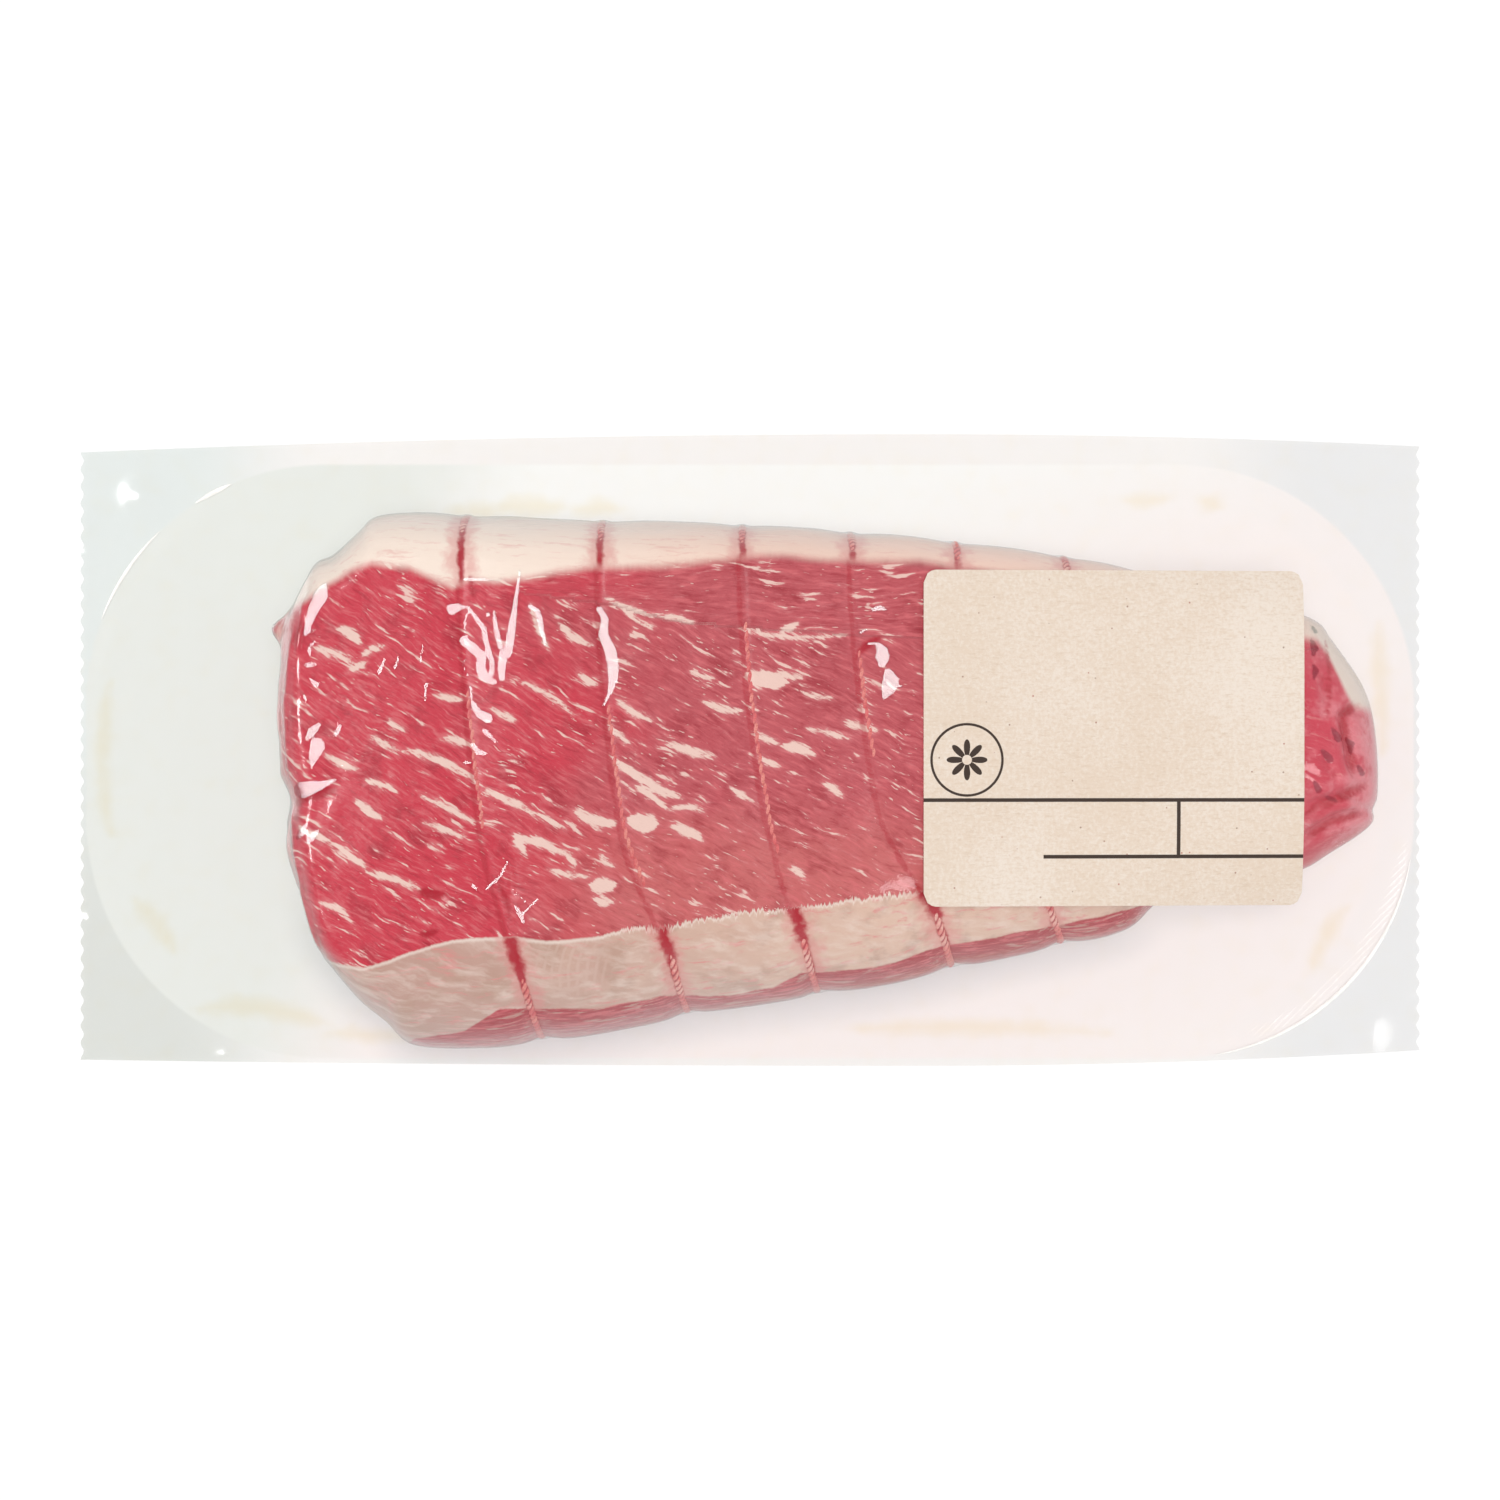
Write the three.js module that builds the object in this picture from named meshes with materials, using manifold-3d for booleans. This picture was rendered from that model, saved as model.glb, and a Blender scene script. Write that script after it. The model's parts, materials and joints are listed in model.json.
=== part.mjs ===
// A raw cross rib roast, tied with butcher's twine, in a vacuum pack of clear film with a paper label.
// Millimetres, +Z up. The pack lies flat on z = 0, with its length along X and the roast's cut face up.
// The sealed pack is one closed solid, because the film lies tight on the meat and shuts it in.
import * as THREE from 'three';
import { mergeVertices } from 'three/addons/utils/BufferGeometryUtils.js';
import Module from 'manifold-3d';

const wasm = await Module();
wasm.setup();

// Film web: two clear films, joined round the meat and cut to a sheet. Its ends are pinked.
const PACK_LENGTH = 352;
const PACK_WIDTH = 166;
const WEB_THICKNESS = 1.0;
const WIDEST_AT_X = 45; // the long edges bow out to here
const UPPER_EDGE = { left: 78.2, right: 79.8 }; // from the centre line to the edge, at the two ends
const LOWER_EDGE = { left: 81.4, right: 78.9 };
const LONG_EDGE_STEPS = 24;
const PINK_PITCH = 4.4;
const PINK_DEPTH = 0.9;
const PINK_STEPS = 6;

// Seal: the raised band that joins the two films, a rounded rectangle.
const SEAL_LENGTH = 349;
const SEAL_WIDTH = 156;
const SEAL_CENTRE_Y = -3;
const SEAL_RADIUS = 63;
const SEAL_BAND = 9;
const SEAL_PROUD = 0.3;
const SEAL_ROOT = 0.4; // how deep the band's solid starts inside the web
const SEAL_CURVE_STEPS = 14;

// Roast seen from above, from its upper left corner by the thick end to the thin one and back.
const ROAST_OUTLINE = [
  [-96.5, 60.2], [-99.5, 57.6], [-107.3, 50.1], [-111.2, 48.2], [-116, 39], [-118.2, 33.5], [-120.3, -2],
  [-118, -12], [-118.2, -24], [-113.7, -41.5], [-111.2, -49.5], [-101, -63.5], [-93.2, -70.5],
  [-88, -75.6], [-69, -77.2], [-43, -74.2], [-10, -67.8], [34, -61.2], [61, -54.7], [98, -46],
  [105, -40.5], [120, -37], [144, -30.7], [150, -26.8], [161.3, -18.2], [161.2, -15.5], [162.5, -12],
  [160.4, 12.5], [150, 29], [146.8, 33], [96, 47.2], [78, 51], [13, 57.2], [-49, 59.4],
];
const OUTLINE_SAMPLES = 1400;
const DIRECTION_SPAN = 4; // samples to each side that give the outline's direction
const THICK_END_HEIGHT = 62;
const THIN_END_HEIGHT = 45;
const TAPER_FROM_X = -60;
const TAPER_TO_X = 150;
const WIDEST_HEIGHT = 17; // above this the sides lean in, below it they tuck under
const FACE_CROWN = 1.2; // the cut face is this much higher along its middle
const SPINE = { leftX: -88, leftY: -6, rightX: 126, rightY: 3 }; // the line that the rays run in to

// The rounded edge from the sides to the cut face: its width in plan, how square it is, and how far
// the side below it tucks under.
const UPPER_SHOULDER = { width: 14, power: 2.3, tuck: 3 };
const LOWER_SHOULDER = { width: 29, power: 1.9, tuck: 6 };
const THICK_END_SHOULDER = { width: 9, power: 2.6, tuck: 1.5 };
const THIN_END_SHOULDER = { width: 27, power: 2.0, tuck: 2 };
const SHOULDER_STEPS = [0, 0.02, 0.07, 0.15, 0.26, 0.4, 0.56, 0.74, 0.9];
const CROWN_STEPS = [0, 0.35, 0.7, 1];

// Foot: where the film leaves the meat and runs out flat. Share of the tuck, flare and height.
const FOOT_RINGS = [
  { tuck: 1, flare: 0, height: 0.4 }, // inside the web
  { tuck: 1, flare: 4, height: 0.8 },
  { tuck: 1, flare: 1.4, height: 1.8 },
  { tuck: 0.95, flare: 0.3, height: 3.6 },
  { tuck: 0.6, flare: 0, height: 7.5 },
  { tuck: 0.18, flare: 0, height: 12.5 },
];

// Twine loops, by where each crosses the upper edge. They slant across the roast, each in a groove.
const TWINE_UPPER_X = [-73, -38, -2, 26, 53, 81, 108];
const TWINE_RADIUS = 1.1;
const SLANT_THICK_END = 16.5; // how far right a loop has moved when it reaches the lower edge
const SLANT_THIN_END = 22;
const SLANT_GROWS = { from: -40, to: 60 };
const SLANT_AT_SPINE = 0.25; // share of the slant that a loop has at the middle
const GROOVE_HALF_WIDTH = 3.4;
const GROOVE_DEPTH = { side: 2.2, face: 0.8 };
const TWINE_PROUD = { side: 1.5, face: 0.8 }; // from the bottom of the groove
const FOOT_PINCH = 0.5; // share of the groove's depth that is left below the widest height

// Rays of the roast's mesh, from its outline in to the spine. They run along the twine loops.
const STATIONS_ROUND_TWINE = [-5.5, -2.8, -TWINE_RADIUS, 0, TWINE_RADIUS, 2.8, 5.5];
const STATION_SPACING = 6.5;
const FIRST_STATION_X = -93;
const LAST_STATION_X = 121;
const THICK_END_RAYS = 30;
const THIN_END_RAYS = 20;

// Paper label, lying on the pack over the thin end, with its corners hanging over the roast's edge.
const LABEL_LENGTH = 96;
const LABEL_WIDTH = 85;
const LABEL_THICKNESS = 0.6;
const LABEL_CORNER = 3.3;
const LABEL_CENTRE = { x: 92, y: 2.8 };
const LABEL_GAP = 0.4;
const UPPER_HANG = { from: 12, radius: 45 }; // it bends down from this far inside the roast's outline
const LOWER_HANG = { from: 24, radius: 60 };
const HANG_BLEND = { from: 10, to: -20 }; // y where one bend gives way to the other
const LABEL_CORNER_STEPS = 4;
const LABEL_STEPS_X = 16;
const LABEL_STEPS_Y = 14;

const { lerp, clamp, smoothstep } = THREE.MathUtils;

// ---- meshes and solids ----

// Triangles that join each ring of points to the next, rings counterclockwise and going outwards or up.
function ringTriangles(ringCount, count) {
  const indices = [];
  for (let r = 0; r + 1 < ringCount; r += 1) {
    for (let i = 0; i < count; i += 1) {
      const a = r * count + i;
      const b = r * count + ((i + 1) % count);
      indices.push(a, b, a + count, b, b + count, a + count);
    }
  }
  return indices;
}

// A fan over one ring, from the middle of its points.
function addCap(points, indices, start, count, facesBack) {
  const middle = new THREE.Vector3();
  for (let i = 0; i < count; i += 1) middle.addScaledVector(points[start + i], 1 / count);
  const hub = points.push(middle) - 1;
  for (let i = 0; i < count; i += 1) {
    const a = start + i;
    const b = start + ((i + 1) % count);
    indices.push(...(facesBack ? [b, a, hub] : [a, b, hub]));
  }
}

// A closed mesh from rings of points. The last ring is capped too, unless it closes on itself.
function ringedGeometry(rings, { capLast }) {
  const count = rings[0].length;
  const points = rings.flat();
  const indices = ringTriangles(rings.length, count);
  addCap(points, indices, 0, count, true);
  if (capLast) addCap(points, indices, (rings.length - 1) * count, count, false);
  const geometry = new THREE.BufferGeometry().setFromPoints(points);
  geometry.setIndex(indices);
  return geometry;
}

// The same mesh with its shared points merged, and without the triangles that this makes flat.
function merged(geometry) {
  const bare = geometry.clone();
  ['normal', 'uv'].filter((name) => bare.hasAttribute(name)).forEach((name) => bare.deleteAttribute(name));
  const whole = mergeVertices(bare, 1e-4);
  const kept = [];
  for (let i = 0; i < whole.index.count; i += 3) {
    const corners = [0, 1, 2].map((k) => whole.index.getX(i + k));
    if (new Set(corners).size === 3) kept.push(...corners);
  }
  whole.setIndex(kept);
  return whole;
}

function solidFrom(geometry) {
  const whole = merged(geometry);
  return new wasm.Manifold(new wasm.Mesh({
    numProp: 3,
    vertProperties: new Float32Array(whole.getAttribute('position').array),
    triVerts: new Uint32Array(whole.index.array),
  }));
}

function geometryFrom(solid) {
  const mesh = solid.getMesh();
  const geometry = new THREE.BufferGeometry();
  geometry.setAttribute('position', new THREE.BufferAttribute(new Float32Array(mesh.vertProperties), 3));
  geometry.setIndex(new THREE.BufferAttribute(new Uint32Array(mesh.triVerts), 1));
  geometry.computeVertexNormals();
  return geometry;
}

// ---- film web and seal ----

// From the centre line to a long edge at x: the edges bow out from the ends to where the pack is widest.
function longEdge(x, edge) {
  const end = x < WIDEST_AT_X ? -PACK_LENGTH / 2 : PACK_LENGTH / 2;
  const along = (x - WIDEST_AT_X) / (end - WIDEST_AT_X);
  return lerp(PACK_WIDTH / 2, x < WIDEST_AT_X ? edge.left : edge.right, along * along);
}

// The wavy cut of one end, without its two corners. The waves cut in from x.
function pinkedEnd(x, fromY, toY) {
  const waves = Math.round(Math.abs(toY - fromY) / PINK_PITCH);
  const steps = waves * PINK_STEPS;
  const points = [];
  for (let i = 1; i < steps; i += 1) {
    const inward = (PINK_DEPTH / 2) * (1 - Math.cos((2 * Math.PI * i) / PINK_STEPS));
    points.push(new THREE.Vector2(x - Math.sign(x) * inward, lerp(fromY, toY, i / steps)));
  }
  return points;
}

function webShape() {
  const half = PACK_LENGTH / 2;
  const along = Array.from({ length: LONG_EDGE_STEPS + 1 }, (_, i) => lerp(-half, half, i / LONG_EDGE_STEPS));
  return new THREE.Shape([
    ...along.map((x) => new THREE.Vector2(x, -longEdge(x, LOWER_EDGE))),
    ...pinkedEnd(half, -LOWER_EDGE.right, UPPER_EDGE.right),
    ...along.reverse().map((x) => new THREE.Vector2(x, longEdge(x, UPPER_EDGE))),
    ...pinkedEnd(-half, UPPER_EDGE.left, -LOWER_EDGE.left),
  ]);
}

function roundedRectangle(PathType, length, width, radius) {
  const x = length / 2 - radius;
  const y = width / 2 - radius;
  const path = new PathType();
  path.absarc(x, SEAL_CENTRE_Y + y, radius, 0, Math.PI / 2);
  path.absarc(-x, SEAL_CENTRE_Y + y, radius, Math.PI / 2, Math.PI);
  path.absarc(-x, SEAL_CENTRE_Y - y, radius, Math.PI, 1.5 * Math.PI);
  path.absarc(x, SEAL_CENTRE_Y - y, radius, 1.5 * Math.PI, 2 * Math.PI);
  path.closePath();
  return path;
}

function sealBand() {
  const band = roundedRectangle(THREE.Shape, SEAL_LENGTH, SEAL_WIDTH, SEAL_RADIUS);
  const inside = 2 * SEAL_BAND;
  band.holes.push(
    roundedRectangle(THREE.Path, SEAL_LENGTH - inside, SEAL_WIDTH - inside, SEAL_RADIUS - SEAL_BAND),
  );
  const ring = new THREE.ExtrudeGeometry(band, {
    depth: SEAL_ROOT + SEAL_PROUD, bevelEnabled: false, curveSegments: SEAL_CURVE_STEPS,
  });
  return ring.translate(0, 0, WEB_THICKNESS - SEAL_ROOT);
}

function filmWeb() {
  const sheet = new THREE.ExtrudeGeometry(webShape(), { depth: WEB_THICKNESS, bevelEnabled: false });
  return solidFrom(sheet).add(solidFrom(sealBand()));
}

// ---- roast ----

const outlineCurve = new THREE.CatmullRomCurve3(
  ROAST_OUTLINE.map(([x, y]) => new THREE.Vector3(x, y, 0)), true, 'centripetal',
);
const outline = outlineCurve.getSpacedPoints(OUTLINE_SAMPLES).slice(0, OUTLINE_SAMPLES);

// Index of the outline's sample nearest x, on the upper (side 1) or lower (side -1) edge.
function outlineIndexAt(x, side) {
  const gaps = outline.map((p) => (p.y * side > 0 ? Math.abs(p.x - x) : Infinity));
  return gaps.indexOf(Math.min(...gaps));
}

function outwardAt(index) {
  const before = outline[(index + OUTLINE_SAMPLES - DIRECTION_SPAN) % OUTLINE_SAMPLES];
  const after = outline[(index + DIRECTION_SPAN) % OUTLINE_SAMPLES];
  return new THREE.Vector3(after.y - before.y, before.x - after.x, 0).normalize();
}

function slantAt(upperX) {
  return lerp(SLANT_THICK_END, SLANT_THIN_END, smoothstep(upperX, SLANT_GROWS.from, SLANT_GROWS.to));
}

function spinePoint(station) {
  const x = station + SLANT_AT_SPINE * slantAt(station);
  const share = clamp((x - SPINE.leftX) / (SPINE.rightX - SPINE.leftX), 0, 1);
  return new THREE.Vector3(lerp(SPINE.leftX, SPINE.rightX, share), lerp(SPINE.leftY, SPINE.rightY, share), 0);
}

// Stations along the roast, named by their x on the upper edge: close together at each twine loop.
function stationMarks() {
  const near = TWINE_UPPER_X.flatMap((x) => STATIONS_ROUND_TWINE.map((step) => x + step));
  const marks = [FIRST_STATION_X, ...near, LAST_STATION_X].sort((a, b) => a - b);
  return marks.flatMap((x, i) => {
    const gap = i + 1 < marks.length ? marks[i + 1] - x : 0;
    const parts = Math.max(1, Math.ceil(gap / STATION_SPACING));
    return Array.from({ length: parts }, (_, k) => x + (gap * k) / parts);
  });
}

function mixShoulders(a, b, share) {
  const mix = (key) => lerp(a[key], b[key], share);
  return { width: mix('width'), power: mix('power'), tuck: mix('tuck') };
}

// One ray. Its station is null on the two ends, where no twine crosses.
function rayAt(index, spine, shoulder, station) {
  const rim = outline[index];
  const inward = spine.clone().sub(rim);
  return {
    rim, shoulder, station, reach: inward.length(), inward: inward.normalize(), outward: outwardAt(index),
  };
}

// Rays over one end of the roast, all to one point of the spine.
function endRays({ from, to, count, spine, shoulders }) {
  const span = (to - from + OUTLINE_SAMPLES) % OUTLINE_SAMPLES;
  return Array.from({ length: count }, (_, k) => {
    const share = (k + 1) / (count + 1);
    const index = (from + Math.round(span * share)) % OUTLINE_SAMPLES;
    const side = share < 0.5 ? shoulders.first : shoulders.last;
    const blend = smoothstep(Math.abs(share - 0.5), 0.25, 0.5);
    return rayAt(index, spine, mixShoulders(shoulders.middle, side, blend), null);
  });
}

// Rays all round the roast, counterclockwise from the thin end's upper side.
function roastRays() {
  const marks = stationMarks();
  const lowerX = (x) => x + slantAt(x);
  const upper = marks.map((x) => rayAt(outlineIndexAt(x, 1), spinePoint(x), UPPER_SHOULDER, x));
  const lower = marks.map((x) => rayAt(outlineIndexAt(lowerX(x), -1), spinePoint(x), LOWER_SHOULDER, x));
  const thickEnd = endRays({
    from: outlineIndexAt(FIRST_STATION_X, 1),
    to: outlineIndexAt(lowerX(FIRST_STATION_X), -1),
    count: THICK_END_RAYS,
    spine: spinePoint(FIRST_STATION_X),
    shoulders: { first: UPPER_SHOULDER, middle: THICK_END_SHOULDER, last: LOWER_SHOULDER },
  });
  const thinEnd = endRays({
    from: outlineIndexAt(lowerX(LAST_STATION_X), -1),
    to: outlineIndexAt(LAST_STATION_X, 1),
    count: THIN_END_RAYS,
    spine: spinePoint(LAST_STATION_X),
    shoulders: { first: LOWER_SHOULDER, middle: THIN_END_SHOULDER, last: UPPER_SHOULDER },
  });
  return [...upper.reverse(), ...thickEnd, ...lower, ...thinEnd];
}

// How much of the groove's depth a ray has: 1 under a twine loop, 0 between loops.
function grooveAt({ station }) {
  if (station === null) return 0;
  return Math.max(...TWINE_UPPER_X.map((x) => Math.exp(-(((station - x) / GROOVE_HALF_WIDTH) ** 2))));
}

// How much of the twine's height a ray has: 1 along a loop's middle, 0 beside it.
function twineAt({ station }) {
  if (station === null) return 0;
  return Math.max(0, ...TWINE_UPPER_X.map((x) => 1 - Math.abs(station - x) / TWINE_RADIUS));
}

// How far the groove and its twine pull the surface in, from the side (0) to the cut face (1).
function pinchAt(ray, towardsFace) {
  const depth = lerp(GROOVE_DEPTH.side, GROOVE_DEPTH.face, towardsFace) * grooveAt(ray);
  return depth - lerp(TWINE_PROUD.side, TWINE_PROUD.face, towardsFace) * twineAt(ray);
}

// Height of the cut face's edge.
function faceHeight(x) {
  return lerp(THICK_END_HEIGHT, THIN_END_HEIGHT, smoothstep(x, TAPER_FROM_X, TAPER_TO_X));
}

function footPoint(ray, { tuck, flare, height }) {
  const offset = flare - ray.shoulder.tuck * tuck - FOOT_PINCH * pinchAt(ray, 0);
  return ray.rim.clone().addScaledVector(ray.outward, offset).setZ(height);
}

function shoulderPoint(ray, step) {
  const { width, power } = ray.shoulder;
  const rise = (1 - (1 - step) ** power) ** (1 / power);
  const pinch = pinchAt(ray, step);
  const point = ray.rim.clone().addScaledVector(ray.inward, width * step + pinch * (1 - step));
  return point.setZ(lerp(WIDEST_HEIGHT, faceHeight(point.x), rise) - pinch * rise);
}

function crownPoint(ray, step) {
  const point = ray.rim.clone().addScaledVector(ray.inward, lerp(ray.shoulder.width, ray.reach, step));
  return point.setZ(faceHeight(point.x) + FACE_CROWN * smoothstep(step, 0, 1) - pinchAt(ray, 1));
}

// The roast under its film, from a bottom ring inside the web up to the spine, where it closes.
function roastBulge() {
  const rays = roastRays();
  const rings = [
    ...FOOT_RINGS.map((ring) => rays.map((ray) => footPoint(ray, ring))),
    ...SHOULDER_STEPS.map((step) => rays.map((ray) => shoulderPoint(ray, step))),
    ...CROWN_STEPS.map((step) => rays.map((ray) => crownPoint(ray, step))),
  ];
  return solidFrom(ringedGeometry(rings, { capLast: false }));
}

// ---- label ----

// Half width of the label at a distance along it, with its rounded corners.
function labelHalfWidth(x) {
  const into = Math.max(0, Math.abs(x) - (LABEL_LENGTH / 2 - LABEL_CORNER));
  return LABEL_WIDTH / 2 - LABEL_CORNER + Math.sqrt(Math.max(0, LABEL_CORNER ** 2 - into ** 2));
}

// How far a point lies inside the roast's outline. It is negative outside.
function insideRoast(x, y) {
  const nearest = Math.min(...outline.map((p) => Math.hypot(p.x - x, p.y - y)));
  const crossings = outline.filter((p, i) => {
    const q = outline[(i + 1) % OUTLINE_SAMPLES];
    return (p.y > y) !== (q.y > y) && x < lerp(p.x, q.x, (y - p.y) / (q.y - p.y));
  });
  return crossings.length % 2 ? nearest : -nearest;
}

// How far the label has bent down at a point, where it runs out over the roast's edge.
function labelDrop(x, y) {
  const towardsLower = smoothstep(-y, -HANG_BLEND.from, -HANG_BLEND.to);
  const beyond = Math.max(0, lerp(UPPER_HANG.from, LOWER_HANG.from, towardsLower) - insideRoast(x, y));
  return beyond ** 2 / (2 * lerp(UPPER_HANG.radius, LOWER_HANG.radius, towardsLower));
}

function labelPoint(alongX, across, lift) {
  const x = LABEL_CENTRE.x + alongX;
  const y = LABEL_CENTRE.y + across * labelHalfWidth(alongX);
  return new THREE.Vector3(x, y, faceHeight(x) + FACE_CROWN + LABEL_GAP - labelDrop(x, y) + lift);
}

// The label as a thin sheet that follows the roast, its rings running across it one after another.
function labelSheet() {
  const straight = LABEL_LENGTH / 2 - LABEL_CORNER;
  const corner = Array.from({ length: LABEL_CORNER_STEPS }, (_, k) => (
    straight + LABEL_CORNER * Math.sin((Math.PI / 2) * ((k + 1) / LABEL_CORNER_STEPS))
  ));
  const middle = Array.from({ length: LABEL_STEPS_X + 1 }, (_, k) => (
    lerp(-straight, straight, k / LABEL_STEPS_X)
  ));
  const across = Array.from({ length: LABEL_STEPS_Y + 1 }, (_, k) => lerp(-1, 1, k / LABEL_STEPS_Y));
  const rings = [...corner.map((x) => -x).reverse(), ...middle, ...corner].map((x) => [
    ...across.map((v) => labelPoint(x, v, 0)),
    ...across.slice().reverse().map((v) => labelPoint(x, v, LABEL_THICKNESS)),
  ]);
  return ringedGeometry(rings, { capLast: true });
}

// ---- the object ----

const beef = new THREE.MeshStandardMaterial({ color: 0xc0505f, roughness: 0.25, metalness: 0 });
const kraft = new THREE.MeshStandardMaterial({ color: 0xe6d6c2, roughness: 0.8, metalness: 0 });

const sealedPack = new THREE.Mesh(geometryFrom(filmWeb().add(roastBulge())), beef);
sealedPack.name = 'sealed_pack';
const label = new THREE.Mesh(labelSheet(), kraft);
label.name = 'label';

const pack = new THREE.Group();
pack.add(sealedPack, label);

export default pack;
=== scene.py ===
# A raw cross rib roast, tied with twine, in a vacuum pack of clear film with a paper label.
# Sizes are in millimetres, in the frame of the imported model; MM turns them into Blender's metres.
import json
import math

import bpy
import numpy as np
from mathutils import Matrix, Vector, noise
from mathutils.bvhtree import BVHTree

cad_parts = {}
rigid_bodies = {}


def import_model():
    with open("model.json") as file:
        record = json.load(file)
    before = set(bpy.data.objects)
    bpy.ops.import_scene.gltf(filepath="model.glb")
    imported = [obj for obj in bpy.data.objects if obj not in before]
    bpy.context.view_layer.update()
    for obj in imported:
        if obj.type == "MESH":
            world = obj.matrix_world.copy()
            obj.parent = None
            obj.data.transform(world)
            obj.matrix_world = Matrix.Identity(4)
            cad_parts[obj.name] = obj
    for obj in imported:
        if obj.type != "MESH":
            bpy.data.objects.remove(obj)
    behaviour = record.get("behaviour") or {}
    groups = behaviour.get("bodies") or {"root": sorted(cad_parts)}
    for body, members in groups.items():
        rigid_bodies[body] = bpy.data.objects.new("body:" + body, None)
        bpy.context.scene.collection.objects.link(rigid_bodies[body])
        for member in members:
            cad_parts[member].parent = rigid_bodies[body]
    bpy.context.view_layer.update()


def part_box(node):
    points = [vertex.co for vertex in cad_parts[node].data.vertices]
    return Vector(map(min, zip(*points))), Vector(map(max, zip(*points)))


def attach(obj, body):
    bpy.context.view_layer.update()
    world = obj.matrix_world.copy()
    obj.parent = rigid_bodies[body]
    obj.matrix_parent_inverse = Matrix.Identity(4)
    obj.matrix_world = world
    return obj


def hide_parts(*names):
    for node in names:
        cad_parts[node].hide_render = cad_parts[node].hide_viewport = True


bpy.ops.object.select_all(action="SELECT")
bpy.ops.object.delete()
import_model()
bpy.ops.object.select_all(action="DESELECT")

MM = 0.001

# ---- the pack's sizes, as its solid has them ----

PACK_HIGH = np.array(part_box("sealed_pack")[1]) / MM
WEB_BOTTOM, WEB_TOP = 0.05, 1.0
WIDEST_AT_X = 45
UPPER_EDGE = (78.2, 79.8)  # from the centre line to the edge, at the left and right ends
LOWER_EDGE = (81.4, 78.9)
PINK_PITCH, PINK_DEPTH = 4.4, 0.9
SEAL_LENGTH, SEAL_WIDTH, SEAL_RADIUS, SEAL_BAND = 349, 156, 63, 9
SEAL_CENTRE_Y = -3
SEAL_PROUD = 0.3

# ---- the roast's sizes, as its solid has them ----

ROAST_OUTLINE = np.array([
    (-96.5, 60.2), (-99.5, 57.6), (-107.3, 50.1), (-111.2, 48.2), (-116, 39), (-118.2, 33.5), (-120.3, -2),
    (-118, -12), (-118.2, -24), (-113.7, -41.5), (-111.2, -49.5), (-101, -63.5), (-93.2, -70.5),
    (-88, -75.6), (-69, -77.2), (-43, -74.2), (-10, -67.8), (34, -61.2), (61, -54.7), (98, -46),
    (105, -40.5), (120, -37), (144, -30.7), (150, -26.8), (161.3, -18.2), (161.2, -15.5), (162.5, -12),
    (160.4, 12.5), (150, 29), (146.8, 33), (96, 47.2), (78, 51), (13, 57.2), (-49, 59.4),
], float)
THICK_END_HEIGHT, THIN_END_HEIGHT = 62, 45
TAPER_X = (-60, 150)
WIDEST_HEIGHT = 17
FACE_CROWN = 1.2
SPINE = np.array([(-88, -6), (126, 3)], float)

# Rounded edges between the sides and the cut face: width in plan, squareness and tuck below.
UPPER_SHOULDER = np.array([14, 2.3, 3])
LOWER_SHOULDER = np.array([29, 1.9, 6])
THICK_END_SHOULDER = np.array([9, 2.6, 1.5])
THIN_END_SHOULDER = np.array([27, 2.0, 2])

# Twine loops, by where each crosses the upper edge. Each slants to the right on its way down.
TWINE_UPPER_X = np.array([-73, -38, -2, 26, 53, 81, 108], float)
TWINE_RADIUS = 1.1
SLANT = (16.5, 22)
SLANT_GROWS_X = (-40, 60)
SLANT_AT_SPINE = 0.25
TWINE_JOG = np.array([3, 5.5, 1.5, 6, 6, 5, 4])  # how far each loop has slid to the right above the lower fat
JOG_SHARES = (0.6, 0.86)
GROOVE_HALF_WIDTH = 3.4

FIRST_STATION, LAST_STATION = -93, 121
LABEL_FROM_STATION = 44  # beyond it the label hides most of the meat
END_RAY_SPACING = 1.0


# ---- numbers ----

def smoothstep(x, low, high):
    t = np.clip((np.asarray(x, float) - low) / (high - low), 0, 1)
    return t * t * (3 - 2 * t)


def lerp(a, b, t):
    return a + (b - a) * t


def perlin(points, size, seed):
    """Smooth noise from -1 to 1 at each point, with lumps of about this size in millimetres."""
    shift = np.array([seed * 17.3, seed * 5.1, seed * 9.7])
    places = points.reshape(-1, 3) / size + shift
    return np.array([noise.noise(Vector(place)) for place in places]).reshape(points.shape[:-1])


def srgb(red, green, blue):
    """A colour given as 0 to 255, as a linear RGBA."""
    shares = [c / 255 for c in (red, green, blue)]
    return tuple(c / 12.92 if c <= 0.04045 else ((c + 0.055) / 1.055) ** 2.4 for c in shares) + (1.0,)


# ---- the roast's form ----

def even_loop(points, count):
    """Evenly spaced samples of a closed line, and its length."""
    ring = np.vstack([points, points[:1]])
    run = np.concatenate([[0], np.cumsum(np.linalg.norm(np.diff(ring, axis=0), axis=1))])
    even = np.linspace(0, run[-1], count, endpoint=False)
    return np.stack([np.interp(even, run, ring[:, axis]) for axis in range(points.shape[1])], axis=1), run[-1]


CURVE_STEPS = 200  # samples between two points of a curve


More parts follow.
